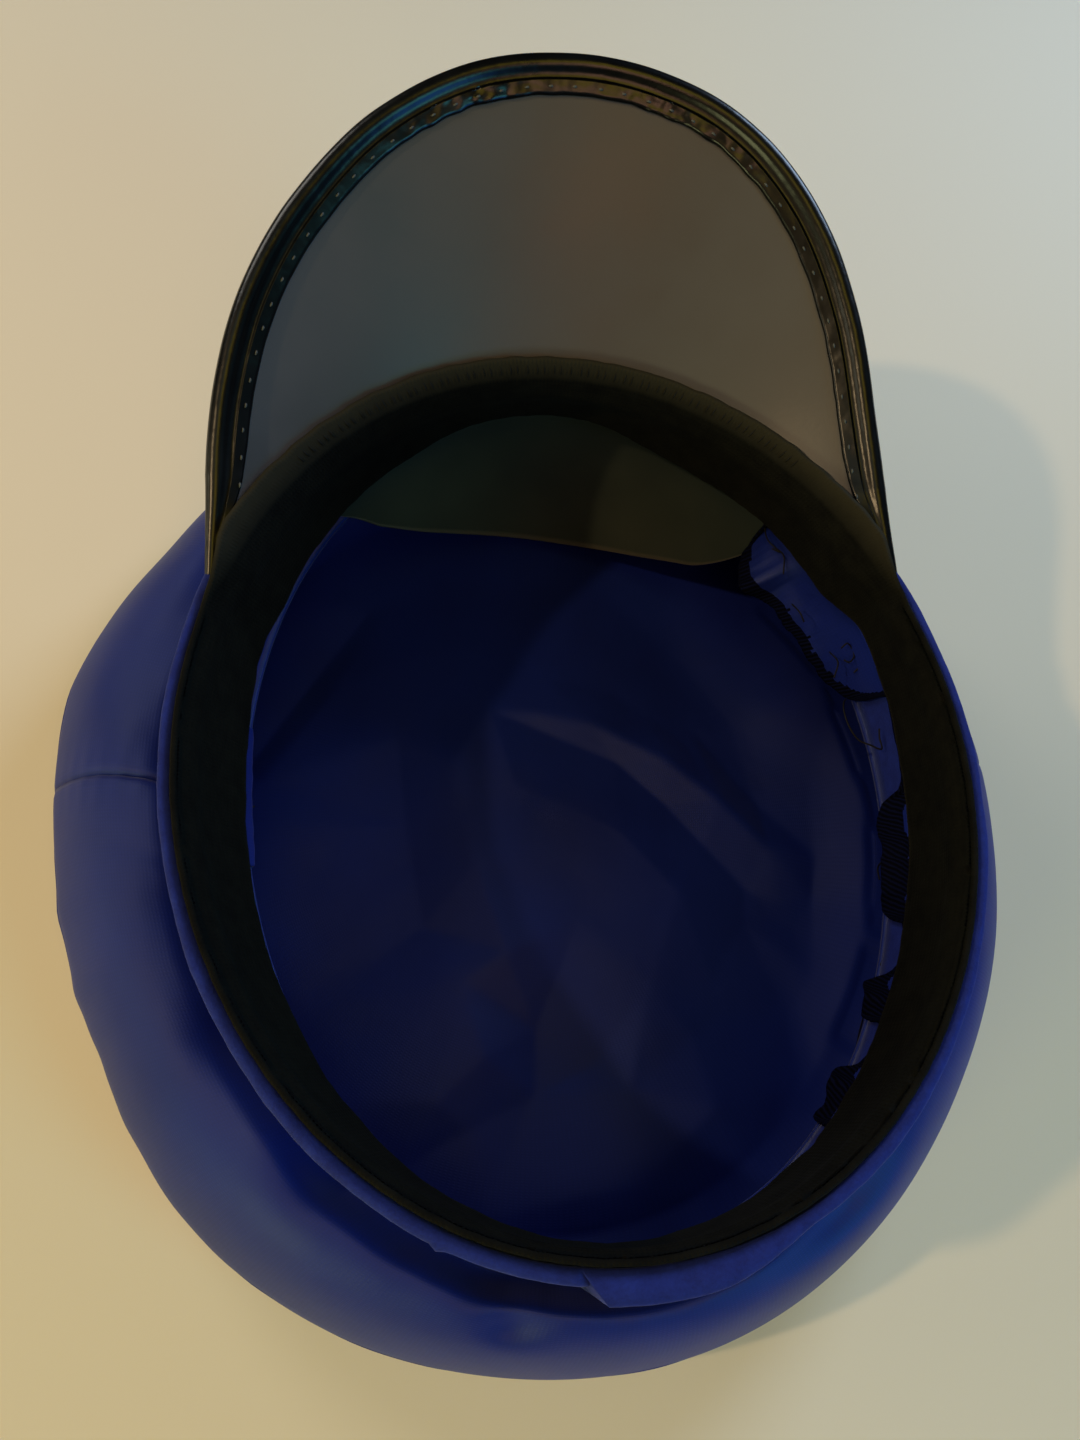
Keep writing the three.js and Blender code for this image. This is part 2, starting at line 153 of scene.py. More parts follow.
def loopFaces(columns, count, closed, looped=True):
    i = np.arange(columns if closed else columns - 1)[:, None]
    j = np.arange(count if looped else count - 1)[None, :]
    nextI, nextJ = (i + 1) % columns, (j + 1) % count
    quads = [i * count + j, nextI * count + j, nextI * count + nextJ, i * count + nextJ]
    places = [(i, j), (i + 1, j), (i + 1, j + 1), (i, j + 1)]
    quads = np.stack([np.broadcast_to(q, (i.size, j.size)) for q in quads], -1).reshape(-1, 4)
    return quads, places


# Faces of a tube made of rings of points, with flat ends
def tubeFaces(first, rings, sides):
    quads = (loopFaces(rings, sides, False)[0] + first).tolist()
    last = first + (rings - 1) * sides
    return quads + [[first + c for c in range(sides)], [last + c for c in reversed(range(sides))]]


def enclosed(vertices, quads):
    p = np.asarray(vertices)[quads]
    one = np.einsum("ij,ij->i", p[:, 0], np.cross(p[:, 1], p[:, 2])).sum()
    return one + np.einsum("ij,ij->i", p[:, 0], np.cross(p[:, 2], p[:, 3])).sum()


# One closed mesh from loops of points, with its UV map in millimetres along and round the piece
def addLoops(name, sections, materials, closed=False, slotOf=None, edge=None, centres=None):
    columns, count = sections.shape[:2]
    vertices = sections.reshape(-1, 3)
    quads, places = loopFaces(columns, count, closed, centres is None)
    s = runAlong(np.concatenate([sections, sections[:1]], 0))
    t = runAlong(np.concatenate([sections, sections[:, :1]], 1).swapaxes(0, 1))
    corners = np.stack([np.stack(np.broadcast_arrays(s[i], t[j]), -1) for i, j in places], 2)
    corners = corners.reshape(-1, 4, 2)
    faces = quads.tolist()
    slots = None
    if slotOf is not None:
        rows, across = places[0][0].size, places[0][1].size
        slotOf = slotOf[..., :rows, :across] if slotOf.ndim > 1 else slotOf[:across]
        slots = np.broadcast_to(slotOf, (rows, across)).ravel().tolist()
    turned = enclosed(vertices, quads) < 0
    if turned:
        faces = [f[::-1] for f in faces]
        corners = corners[:, ::-1]
    corners = corners.reshape(-1, 2).tolist()
    ends = []
    if centres is not None:  # a disc: its first and last rings close in a point each
        vertices = np.concatenate([vertices, centres])
        for end, j in ((len(vertices) - 2, 0), (len(vertices) - 1, count - 1)):
            for i in range(columns):
                a, b = i * count + j, (i + 1) % columns * count + j
                ends.append([b, a, end] if (j == 0) != turned else [a, b, end])
    elif not closed:
        first, last = list(range(count)), [(columns - 1) * count + j for j in range(count)]
        ends = [first[::-1] if turned else first, last if turned else last[::-1]]
    for face in ends:
        corners += [[vertices[k][0], vertices[k][1]] for k in face]
        if slots is not None:
            slots.append(0)
    return addPiece(name, vertices, faces + ends, materials, corners, slots, edge)


# Rows of short stitches in one mesh: each arches from one hole to the next
def addStitches(name, at, along, out, length, radius, material):
    rings, sides = 7, 6
    steps = np.linspace(-1, 1, rings)[:, None, None]
    turn = np.linspace(0, 2 * math.pi, sides, endpoint=False)[:, None]
    at, along, out = (np.asarray(v)[:, None, None] for v in (at, along, out))
    ring = np.cross(along, out) * np.cos(turn) + out * np.sin(turn)
    lift = (1 - steps**2) * radius * 1.3 - radius * 0.5
    vertices = at + along * steps * length / 2 + out * lift + ring * radius * np.sqrt(1.03 - steps**2)
    faces = [face for k in range(len(at)) for face in tubeFaces(k * rings * sides, rings, sides)]
    piece = addPiece(name, vertices.reshape(-1, 3), faces, [material])


# Loose threads in one mesh: round strands along smooth curves through the points
def addThreads(name, lines, radius, material):
    sides, between = 5, 8
    turn = np.linspace(0, 2 * math.pi, sides, endpoint=False)[:, None]
    vertices, faces = [], []
    for line in lines:
        line = np.asarray(line, float)
        k = np.arange(len(line))
        at = np.linspace(0, len(line) - 1, (len(line) - 1) * between + 1)
        path = np.stack([fromTable(np.stack([k, line[:, c]], 1), at) for c in range(3)], 1)
        along = unit(np.gradient(path, axis=0))
        aside = unit(np.cross(along, (0.3, 0.2, 1)))
        up = np.cross(aside, along)
        tube = path[:, None] + (aside[:, None] * np.cos(turn) + up[:, None] * np.sin(turn)) * radius
        faces += tubeFaces(len(vertices), len(path), sides)
        vertices += tube.reshape(-1, 3).tolist()
    piece = addPiece(name, vertices, faces, [material])


# Materials
def toLinear(hexColour):
    channels = [int(hexColour[i : i + 2], 16) / 255 for i in (1, 3, 5)]
    return [c / 12.92 if c <= 0.04045 else ((c + 0.055) / 1.055) ** 2.4 for c in channels] + [1]


def addNode(tree, kind, inputs=None, stops=None, **settings):
    node = tree.nodes.new("ShaderNode" + kind)
    for name, value in settings.items():
        setattr(node, name, value)
    for name, value in (inputs or {}).items():
        if isinstance(value, bpy.types.Node):
            value = value.outputs[0]
        if isinstance(value, bpy.types.NodeSocket):
            tree.links.new(value, node.inputs[name])
        else:
            node.inputs[name].default_value = value
    for k, (place, colour) in enumerate(stops or []):
        elements = node.color_ramp.elements
        stop = elements[k] if k < 2 else elements.new(place)
        stop.position, stop.color = place, toLinear(colour)
    return node


# A material from a function that adds its nodes and hands back the shader's settings
def newMaterial(name, build, *settings):
    material = bpy.data.materials.new(name)
    material.use_nodes = True
    tree = material.node_tree
    tree.nodes.clear()
    place = addNode(tree, "TexCoord")
    shader = addNode(tree, "BsdfPrincipled", build(tree, place.outputs, *settings))
    addNode(tree, "OutputMaterial", {"Surface": shader})
    return material


# Settings of a noise texture with lumps of that many mm
def lumpsOf(place, size, detail):
    return {"Vector": place["Object"], "Scale": 1 / (size * mm), "Detail": detail}


# Settings of a wave texture with its rows that many mm apart. At scale 1 they are pi / 10 apart
def rowsOf(vector, pitch, distortion=0.0, detail=2.0):
    return {"Vector": vector, "Scale": math.pi / 10 / pitch, "Distortion": distortion, "Detail": detail}


cloth = {
    "thread": 0.9,  # real threads lie 0.3 mm apart, too fine to show, so they are drawn coarser
    "crossShare": 0.7,
    "cloud": 35.7,
    "rumple": 16.7,
    "deep": "#031564",
    "pale": "#051b72",
    "sheen": 0.12,
}


# Woven polyester, a close twill pressed smooth: low soft shine, greyish where light grazes it
def wovenPolyester(tree, place):
    threads = []
    for turn, share in ((0.0, 1.0), (math.pi / 2, cloth["crossShare"])):
        turned = addNode(tree, "Mapping", {"Vector": place["UV"], "Rotation": (0, 0, turn)})
        threads.append(addNode(tree, "TexWave", rowsOf(turned, cloth["thread"] * share, 0.8, 1.0)))
    weave = addNode(tree, "Math", {0: threads[0], 1: threads[1]}, operation="MULTIPLY")
    cloud = addNode(tree, "TexNoise", lumpsOf(place, cloth["cloud"], 3.0))
    tone = addNode(tree, "ValToRGB", {0: cloud}, stops=((0.3, cloth["deep"]), (0.7, cloth["pale"])))
    shade = addNode(tree, "MapRange", {"Value": weave, "To Min": 0.9, "To Max": 1.08})
    colour = addNode(tree, "Mix", {0: 1.0, 6: tone, 7: shade}, data_type="RGBA", blend_type="MULTIPLY")
    fine = addNode(tree, "Bump", {"Height": weave, "Strength": 0.35, "Distance": 0.00006})
    rumples = addNode(tree, "TexNoise", lumpsOf(place, cloth["rumple"], 4.0))
    relief = {"Height": rumples, "Strength": 0.25, "Distance": 0.0008, "Normal": fine}
    return {
        "Base Color": colour.outputs[2],
        "Roughness": addNode(tree, "MapRange", {"Value": cloud, "To Min": 0.52, "To Max": 0.62}),
        "Specular IOR Level": 0.4,
        "Specular Tint": toLinear("#cfdaf1"),
        "Sheen Weight": cloth["sheen"],
        "Sheen Roughness": 0.45,
        "Sheen Tint": toLinear("#a8b2cb"),
        "Normal": addNode(tree, "Bump", relief),
    }


nap = {"deep": "#101c63", "pale": "#18287a", "sheen": 0.25, "hair": 0.667, "tuft": 3.85}


# Brushed cloth stuck on foam: a short soft nap that hides the weave and greys at grazing angles
def brushedNap(tree, place):
    hairs = addNode(tree, "TexNoise", {**lumpsOf(place, nap["hair"], 3.0), "Roughness": 0.7})
    tufts = addNode(tree, "TexNoise", lumpsOf(place, nap["tuft"], 3.0))
    both = addNode(tree, "Mix", {0: 0.5, 6: hairs, 7: tufts}, data_type="RGBA").outputs[2]
    stops = ((0.36, nap["deep"]), (0.64, nap["pale"]))
    return {
        "Base Color": addNode(tree, "ValToRGB", {0: both}, stops=stops),
        "Roughness": 0.85,
        "Specular IOR Level": 0.2,
        "Sheen Weight": nap["sheen"],
        "Sheen Roughness": 0.35,
        "Sheen Tint": toLinear("#7f8fd0"),
        "Normal": addNode(tree, "Bump", {"Height": both, "Strength": 0.8, "Distance": 0.00025}),
    }


overlockShade = {"pitch": 1.1, "slant": 0.35, "deep": "#010109", "pale": "#060a26"}


# Overlocked edge: navy threads looped tightly over the raw cloth, in slanting rows; the navy also serves as
# painted shade in the gaps under the loose edge
def overlockAndShadeEdge(tree, place):
    turned = addNode(tree, "Mapping", {"Vector": place["UV"], "Rotation": (0, 0, overlockShade["slant"])})
    loops = addNode(tree, "TexWave", rowsOf(turned, overlockShade["pitch"], 2.0))
    stops = ((0.2, overlockShade["deep"]), (0.9, overlockShade["pale"]))
    return {
        "Base Color": addNode(tree, "ValToRGB", {0: loops}, stops=stops),
        "Roughness": 0.9,
        "Specular IOR Level": 0.05,
        "Normal": addNode(tree, "Bump", {"Height": loops, "Strength": 0.5, "Distance": 0.0003}),
    }


# The last colour is a painted highlight for the tape's lower edge and lip
cotton = {"rib": 0.9, "line": 1.3, "rub": 6.25, "deep": "#050504", "pale": "#0f0f0b", "paintedHighlight": "#3c392c"}


# Woven cotton tape, dyed black: dull and ribbed across; a brown painted highlight pales its lower edge and
# lip
def wovenTape(tree, place):
    ribs = {**rowsOf(place["UV"], cotton["rib"], 1.2), "Detail Scale": 2.0}
    ribs = addNode(tree, "TexWave", ribs, bands_direction="X")
    lines = addNode(tree, "TexWave", rowsOf(place["UV"], cotton["line"], 0.5), bands_direction="Y")
    weave = addNode(tree, "Math", {0: ribs, 1: lines}, operation="MULTIPLY")
    rub = addNode(tree, "TexNoise", {**lumpsOf(place, cotton["rub"], 6.0), "Roughness": 0.75})
    tone = addNode(tree, "ValToRGB", {0: rub}, stops=((0.35, cotton["deep"]), (0.7, cotton["pale"])))
    # The edge attribute sets where the painted highlight colour is mixed in
    edge = addNode(tree, "Attribute", attribute_name="edge").outputs["Fac"]
    paintedHighlight = {0: edge, 6: tone, 7: toLinear(cotton["paintedHighlight"])}
    return {
        "Base Color": addNode(tree, "Mix", paintedHighlight, data_type="RGBA").outputs[2],
        "Roughness": 0.85,
        "Specular IOR Level": 0.08,
        "Sheen Weight": 0.015,
        "Sheen Roughness": 0.5,
        "Sheen Tint": toLinear("#8a8a7c"),
        "Normal": addNode(tree, "Bump", {"Height": weave, "Strength": 0.6, "Distance": 0.00015}),
    }


# The pale edge colour is a painted highlight
pvc = {"grain": 1.11, "cloud": 45.5, "paintedEdgeHighlight": "#77705e"}


# PVC sheet, calendered matt: a fine even grain, dull soft shine and slightly cloudy grey, with a painted
# highlight paling its edge where the edge attribute is set
def mattePvc(tree, place, dark, pale, smoothest, roughest):
    grain = addNode(tree, "TexNoise", lumpsOf(place, pvc["grain"], 2.0))
    cloud = addNode(tree, "TexNoise", lumpsOf(place, pvc["cloud"], 4.0))
    tone = addNode(tree, "ValToRGB", {0: cloud}, stops=((0.35, dark), (0.65, pale)))
    edge = addNode(tree, "Attribute", attribute_name="edge").outputs["Fac"]
    paintedEdgeHighlight = {0: edge, 6: tone, 7: toLinear(pvc["paintedEdgeHighlight"])}
    gloss = {"Value": cloud, "From Min": 0.35, "From Max": 0.65, "To Min": smoothest, "To Max": roughest}
    return {
        "Base Color": addNode(tree, "Mix", paintedEdgeHighlight, data_type="RGBA").outputs[2],
        "Roughness": addNode(tree, "MapRange", gloss),
        "Specular IOR Level": 0.4,
        "Normal": addNode(tree, "Bump", {"Height": grain, "Strength": 0.4, "Distance": 0.00005}),
    }


leathercloth = {"pucker": 4.0, "smudge": 11.1, "deep": "#040405", "pale": "#090a0a"}


# PVC leathercloth, calendered to a gloss: near black with soft-edged highlights and small puckers
def glossVinyl(tree, place):
    puckers = {**lumpsOf(place, leathercloth["pucker"], 2.0), "Roughness": 0.45}
    puckers = addNode(tree, "TexNoise", puckers)
    smudge = addNode(tree, "TexNoise", lumpsOf(place, leathercloth["smudge"], 4.0))
    stops = ((0.3, leathercloth["deep"]), (0.8, leathercloth["pale"]))
    return {
        "Base Color": addNode(tree, "ValToRGB", {0: smudge}, stops=stops),
        "Roughness": addNode(tree, "MapRange", {"Value": smudge, "To Min": 0.24, "To Max": 0.34}),
        "Specular IOR Level": 0.32,
        "Normal": addNode(tree, "Bump", {"Height": puckers, "Strength": 0.25, "Distance": 0.0005}),
    }


thread = {"twist": 0.5, "slant": 0.7}


# Spun polyester sewing thread: a fine twist with a faint shine
def spunThread(tree, place, colour, twistColour):
    turned = addNode(tree, "Mapping", {"Vector": place["UV"], "Rotation": (0, 0, thread["slant"])})
    twist = addNode(tree, "TexWave", rowsOf(turned, thread["twist"]))
    return {
        "Base Color": addNode(tree, "ValToRGB", {0: twist}, stops=((0.2, colour), (0.9, twistColour))),
        "Roughness": 0.65,
        "Specular IOR Level": 0.25,
        "Normal": addNode(tree, "Bump", {"Height": twist, "Strength": 0.5, "Distance": 0.00005}),
    }


blueCloth = newMaterial("wovenPolyesterBlue", wovenPolyester)
brushedCloth = newMaterial("brushedFoamClothBlue", brushedNap)
overlockAndShadeCloth = newMaterial("overlockedNavyEdgeAndShade", overlockAndShadeEdge)
blackTape = newMaterial("wovenCottonTape", wovenTape)
greySheet = newMaterial("matteGreyPvcSheet", mattePvc, "#373536", "#413f40", 0.42, 0.56)
staySheet = newMaterial("satinDarkPvcSheet", mattePvc, "#282e28", "#323830", 0.32, 0.45)
vinyl = newMaterial("glossBlackLeathercloth", glossVinyl)
blackThread = newMaterial("spunBlackThread", spunThread, "#060607", "#0e0f10")
greyThread = newMaterial("spunGreyThread", spunThread, "#4a4c4a", "#6c6e6a")
print("materials made:", len(bpy.data.materials))


# Band
rim = {"halfWidth": 84.2, "halfLength": 102.9, "height": 90.4, "slopeX": 0.04, "slopeY": -0.06}
band = {
    "height": 38,
    "baseHalfWidth": 78.6,
    "baseHalfLength": 108.6,
    "shiftX": 4.7,
    "shiftY": 7.9,
    "wall": 2.8,
    "lapFrom": 263.0,
    "lapTo": 638.2,
    "lapFull": 277.0,
    "lapMerged": 292.0,
    "lapOut": 2.8,
    "lapUnder": 3.4,
    "lapInner": 275.4,
    "lapSlant": 3.4,  # degrees between the inner and the outer corner of the raw end
    "paredFrom": 635.2,
    "bumpAt": 246.5,
    "bump": 0.9,
    "foam": 0.35,  # how far the foam under the cloth puffs it out
}


# A point of the band: degrees round the rim, depth below the rim, inset from the outer face
def onBand(degrees, depth, inset):
    degrees, depth, inset = np.broadcast_arrays(*[np.asarray(v, float) for v in (degrees, depth, inset)])
    angle = np.radians(degrees)
    share = depth / band["height"]
    a = rim["halfWidth"] + (band["baseHalfWidth"] - rim["halfWidth"]) * share
    b = rim["halfLength"] + (band["baseHalfLength"] - rim["halfLength"]) * share
    cos, sin = np.cos(angle), np.sin(angle)
    normal = unit(np.stack([b * cos, a * sin, np.zeros_like(a)], -1))
    tilt = rim["slopeX"] * rim["halfWidth"] * cos + rim["slopeY"] * rim["halfLength"] * sin
    x, y = band["shiftX"] * share + a * cos, band["shiftY"] * share + b * sin
    return np.stack([x, y, rim["height"] + tilt - depth], -1) - normal * inset[..., None]


def bandNormal(degrees):
    return unit(onBand(degrees, 10, -1) - onBand(degrees, 10, 0))


def makeBand():
    lapFrom, lapTo, height = band["lapFrom"], band["lapTo"], band["height"]
    turns = [lapFrom + np.linspace(0, 1.5, 6), np.linspace(lapFrom + 2, band["lapMerged"], 40)[:-1]]
    degrees = np.concatenate(turns + [np.linspace(band["lapMerged"], lapTo, 370)])
    radius = band["wall"] / 2
    down = np.array([height - 0.4, 34, 29, 24, 19, 14, 10, 7, 5, 3.5, 2.4, 1.6])
    arc = np.radians(np.linspace(0, 180, 13))
    depth = np.concatenate([down, radius - radius * np.sin(arc), down[::-1], [height]])
    inset = np.concatenate([0 * down, radius - radius * np.cos(arc), 0 * down + band["wall"], [radius]])
    d = degrees[:, None]
    outerShare = 1 - inset / band["wall"]
    # The inner end is pared to a wedge and sunk under the lap
    inset = inset + (band["wall"] - inset) * 1.04 * smooth(d, band["paredFrom"], lapTo)
    under = band["lapUnder"] * smooth(d, 360 + lapFrom, 363 + lapFrom)
    slant = band["lapSlant"] * outerShare * (1 - smooth(d, lapFrom, lapFrom + 9))
    lap = band["lapOut"] * (1 - smooth(d, band["lapFull"], band["lapMerged"]))
    over = 1 - smooth(d, band["lapInner"], band["lapInner"] + 3)
    over = over * band["lapOut"] * smooth(depth, 1.8, 3.2)
    depth = depth + under * (1 - depth / height)
    sections = onBand(d + slant * (d < 300), depth, inset - lap * outerShare - over * (1 - outerShare))
    away = bandNormal(d)
    soft = ripple(sections, 16, 1) * 0.3 + ripple(sections, 5, 2) * 0.12 + ripple(sections, 1.6, 21) * 0.07
    soft = soft + band["bump"] * bell((d - band["bumpAt"]) % 360, 1.2) * bell(depth - 1, 4)
    puff = band["foam"] * np.sin(np.pi * np.clip(depth / height, 0, 1))
    grow = (soft + puff) * np.where(outerShare > 0.5, 1, 0.15)
    sections = sections + away * grow[..., None]
    sections[..., 2] += 0.25 * ripple(sections, 9, 22) * (depth < 3)
    piece = addLoops("band_strip", sections, [brushedCloth])
    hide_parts("band")


makeBand()
print("band made")

# Crown
crown = {
    "halfWidth": 123.8,
    "halfLength": 136.7,
    "centreX": 2.4,
    "centreY": 13.2,
    "seamHeight": 23.8,
    "flat": 0.79,
    "ring": 0.84,
    "steepest": 64,
    "wall": 1.4,
    "pressed": 0.75,  # how much of its lowest parts the floor flattens
}
crownOutline = [
    (0, 1.8), (30, 0.5), (60, 0), (120, -1.5), (146, -3.5), (158, -0.6), (168, 1.2), (180, -0.1),
    (188, -0.9), (200, 0.4), (240, 0.9), (262, -0.2), (288, 0.5), (320, -0.4), (345, 1.2), (360, 1.8),
]
# How far in from the widest line the edge seam lies, in mm, by the angle
seamInset = [(0, 0.6), (150, 0.6), (186, 1.0), (198, 3.0), (207, 3.4), (216, 2.8), (226, 1.0), (360, 0.6)]
# Corners of the outline where the edge seam is caught: angle, spread in degrees, mm out
outlineCorners = [
    (193.5, 2, 0.5), (202, 1.8, 0.6), (209, 2, -0.4), (216, 2.5, 0.5), (232, 4, 0.3), (168, 3, 0.3),
]

# Creases pressed into the top panel: each line's points are (x, y, height of the cloth above the floor)
creases = {
    "leftFold": [(-40, 70, 5.3), (-38, 59, 6.9), (-35, 34, 8.5), (-33, 8, 7.9), (-29, -20, 7.5)],
    "leftBranch": [(-38, 59, 6.9), (-27, 38, 9.7), (-20, 25, 12.2)],
    "longFold": [(18, 72, 7), (8, 52, 9.7), (3.5, 41, 11.2), (2.4, 37, 9.9), (-3, 18, 11.7),
        (-6, -7, 10.5), (-8, -28, 10.6), (-1, -47, 5.4), (13, -57, 5.2), (22, -63, 7.7)],
    "veeLow": [(13, -57, 5.2), (-2, -63, 4.1), (-19, -70, 5), (-36, -78, 2.3)],
    "veeUp": [(-1, -47, 5.4), (-15, -53, 8.6), (-27, -63, 7.7)],
    "ridge": [(-9, 41, 12.3), (3.5, 41, 11.2), (21, 38, 10), (42, 27, 8.6), (57, 15, 6.4), (70, 2, 3.4),
        (82, -13, 0.8)],
    "ridgeFoot": [(2.4, 37, 9.9), (10, 34, 8.6), (27, 27, 6.8), (40, 15, 5), (51, 2, 3.8),
        (62, -10, 0.9), (73, -17, 0.2)],
    "secondFold": [(28, 49, 6.8), (39, 41, 5.8), (49, 33, 4.9)],
    "behindRidge": [(31, 54, 6), (52, 38, 3.6), (70, 15, 0.5), (85, -1, 1.6)],
    "rightFold": [(26, 5, 8.9), (41, -12, 7.2), (48, -36, 4.2), (48, -46, 4.1)],
    "backFold": [(40, -51, 5.9), (43, -69, 8.4), (43, -89, 4.2)],
    "crossFold": [(30, -37, 7.7), (48, -46, 4.1), (69, -45, 0.6)],
    "shoulder": [(-42, 78, 3.8), (-59, 54, 1.9), (-76, 28, 1.8)],
    "shoulderFoot": [(-44, 67, 4.7), (-55, 47, 4.7), (-72, 23, 4.6)],
    "lumps": [(-62, -5, 5.4), (-58, -40, 4.6), (-48, -62, 5.5), (-15, -5, 11.6), (-20, -35, 10),
        (-12, 65, 9.5), (12, 12, 9.9), (12, -20, 8.4), (20, -85, 7.5), (-15, -90, 2.3), (70, -66, 3.6),
        (66, 40, 1.8), (50, 66, 1.6), (78, -36, 1.8), (88, 22, 3.2), (28, 88, 3.2), (-15, 88, 5.9),
        (-70, 10, 5.7), (-80, -15, 6), (60, -20, 1.4)],
}

# In mm: how blurred the cloth is at a sharp crease and away from it, and how far a crease reaches
creaseShape = {"blur": 0.8, "softBlur": 6.5, "reach": 12, "softLines": ("lumps", "crossFold", "behindRidge")}

# How far the rim of the top panel lifts off the floor: angle, mm
edgeLift = [
    (0, 12), (20, 11), (40, 6), (60, 1), (80, 0), (120, 0), (150, 3), (185, 3), (215, 2), (240, 1),
    (280, 1.5), (300, 4), (320, 6), (340, 9), (360, 12),
]


def onCrown(degrees, reach, z):
    degrees, reach, z = np.broadcast_arrays(*[np.asarray(v, float) for v in (degrees, reach, z)])
    out = fromTable(crownOutline, degrees % 360) * reach
    for corner, spread, grow in outlineCorners:
        out = out + grow * bell(degrees - corner, spread) * smooth(reach, 0.8, 1)
    angle = np.radians(degrees)
    x = crown["centreX"] + (crown["halfWidth"] * reach + out) * np.cos(angle)
    y = crown["centreY"] + (crown["halfLength"] * reach + out) * np.sin(angle)
    return np.stack([x, y, z], -1)


# Height of the creased cloth: flat facets between the crease lines
def creaseHeights(points):
    around = np.arange(0, 360, 20)
    spots = [Vector(p[:2]) for p in onCrown(around, crown["ring"], 0).tolist()]
    heights = fromTable(edgeLift, around).tolist()
    lines = []
    for name, line in creases.items():
        for k, (x, y, h) in enumerate(line):
            spots.append(Vector((x, y)))
            heights.append(h)
            if k and name != "lumps":
                lines.append((len(spots) - 2, len(spots) - 1))
    found = geometry.delaunay_2d_cdt(spots, lines, [], 0, 0.01)
    corners = np.array([list(v) for v in found[0]])
    level = np.array([np.mean([heights[k] for k in ids]) if ids else np.nan for ids in found[3]])
    for k in np.where(np.isnan(level))[0]:  # a point where two lines cross
        near = np.linalg.norm(corners - corners[k], axis=1)
        near[np.isnan(level)] = 1e9
        level[k] = level[near.argmin()]
    made = np.zeros(len(points))
    for face in found[2]:
        a, b, c = corners[list(face)]
        m = np.linalg.inv(np.array([b - a, c - a]).T)
        uv = (points - a) @ m.T
        inside = (uv[:, 0] >= -1e-6) & (uv[:, 1] >= -1e-6) & (uv.sum(1) <= 1 + 1e-6)
        h = level[list(face)]
        made[inside] = (h[0] + uv @ np.array([h[1] - h[0], h[2] - h[0]]))[inside]
    return made


# Millimetres from each point to the nearest crease line
def creaseDistance(points):
    nearest = np.full(len(points), 1e9)
    for name, line in creases.items():
        if name in creaseShape["softLines"]:
            continue
        for a, b in zip(line[:-1], line[1:]):
            a, b = np.array(a[:2], float), np.array(b[:2], float)
            along = np.clip(((points - a) @ (b - a)) / ((b - a) @ (b - a)), 0, 1)
            nearest = np.minimum(nearest, np.linalg.norm(points - a - along[:, None] * (b - a), axis=1))
    return nearest


# Sharp near the crease lines and gently rounded away from them
def softCreases(grid):
    flat = grid[..., :2].reshape(-1, 2)
    levels = []
    for spread in (creaseShape["blur"], creaseShape["softBlur"]):
        total = 0.25 * creaseHeights(flat)
        for turn in range(6):
            step = spread * np.array([math.cos(turn * math.pi / 3), math.sin(turn * math.pi / 3)])
            total = total + 0.125 * creaseHeights(flat + step * (1 - 0.45 * (turn % 2)))
        levels.append(total)
    sharp = bell(creaseDistance(flat), creaseShape["reach"])
    total = levels[0] * sharp + levels[1] * (1 - sharp)
    return total.reshape(grid.shape[:-1])


def makeCrownTop():
    degrees = np.linspace(0, 360, 330, endpoint=False)[:, None]
    reach = np.linspace(0.01, crown["flat"], 92)
    steepest = math.radians(crown["steepest"])
    lift = np.linspace(0, steepest, 23)[1:]
    curve = crown["flat"] + (1 - crown["flat"]) * np.sin(lift) / math.sin(steepest)
    rise = (crown["seamHeight"] - gap / 2) * (1 - np.cos(lift)) / (1 - math.cos(steepest))
    reachAll = np.concatenate([reach, curve])
    zAll = np.concatenate([0 * reach, rise])
    inset = fromTable(seamInset, degrees % 360) * smooth(zAll, 15, crown["seamHeight"]) / crown["halfWidth"]
    outer = onCrown(degrees, reachAll - inset, zAll)
    height = softCreases(onCrown(degrees, np.minimum(reachAll, crown["flat"]), 0))
    sag = ripple(outer, 30, 3) * 0.8 + ripple(outer, 11, 4) * 0.25
    edge = smooth(reachAll, 0.72, 0.86)
    outer[..., :2] += unit(outer[..., :2]) * (sag * edge * 0.9)[..., None]
    outer[..., 2] += height * (1 - zAll / crown["seamHeight"]) + np.maximum(sag, -0.2) * (1 - edge) * 0.5
    outer[..., 2] = np.maximum(outer[..., 2] - crown["pressed"], 0)
    normals = -gridNormals(outer, True)
    normals[:, -1, 2] = 0
    inner = outer + unit(normals) * crown["wall"]
    tip = (outer[:, -1:] + inner[:, -1:]) / 2
    sections = np.concatenate([outer, tip, inner[:, ::-1]], 1)
    low = outer[:, 0].mean(0)
    centres = np.array([low, low + [0, 0, crown["wall"]]])
    piece = addLoops("crown_panel", sections, [blueCloth], closed=True, centres=centres)
    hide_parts("crown_top")


# Share of the way in where the panels bulge, and in mm their low swelling, rolled edge, side seams, puckers
sidePanel = {"bulge": 0.26, "swell": 1.6, "edgeRoll": 1.1, "seamGroove": 0.9, "pucker": 0.16}
# Pockets of the side panel: angle, spread in degrees, depth in mm, share of the way to the band
sideDents = [
    (150, 9, 3.5, 0.72), (176, 5, 3, 0.82), (195, 6, 3, 0.8), (210, 5.5, 7, 0.84),
    (223, 3.5, -2.2, 0.86), (231, 4.5, 6.5, 0.86), (242, 5, 2.5, 0.84), (254, 5, 6, 0.84),
    (259, 3, 3, 0.6), (274, 8, 5, 0.88), (300, 9, 3, 0.7), (338, 9, 3, 0.7),
]
# The channel where the band sinks into the crown: angle, depth in mm
channel = [
    (0, 2), (120, 2), (150, 5), (165, 9), (178, 13), (190, 8), (200, 11), (206, 7), (214, 9), (232, 12),
    (250, 11), (262, 13), (282, 7), (305, 4), (330, 3), (360, 2),
]
# Gathers into the band's seam: degrees apart and aside, mm deep, degrees wide and leaning
gathers = {"pitch": 6.5, "aside": (-2, 2), "depth": (0.2, 1.0), "spread": (1.2, 2.6), "lean": (-8, 8)}


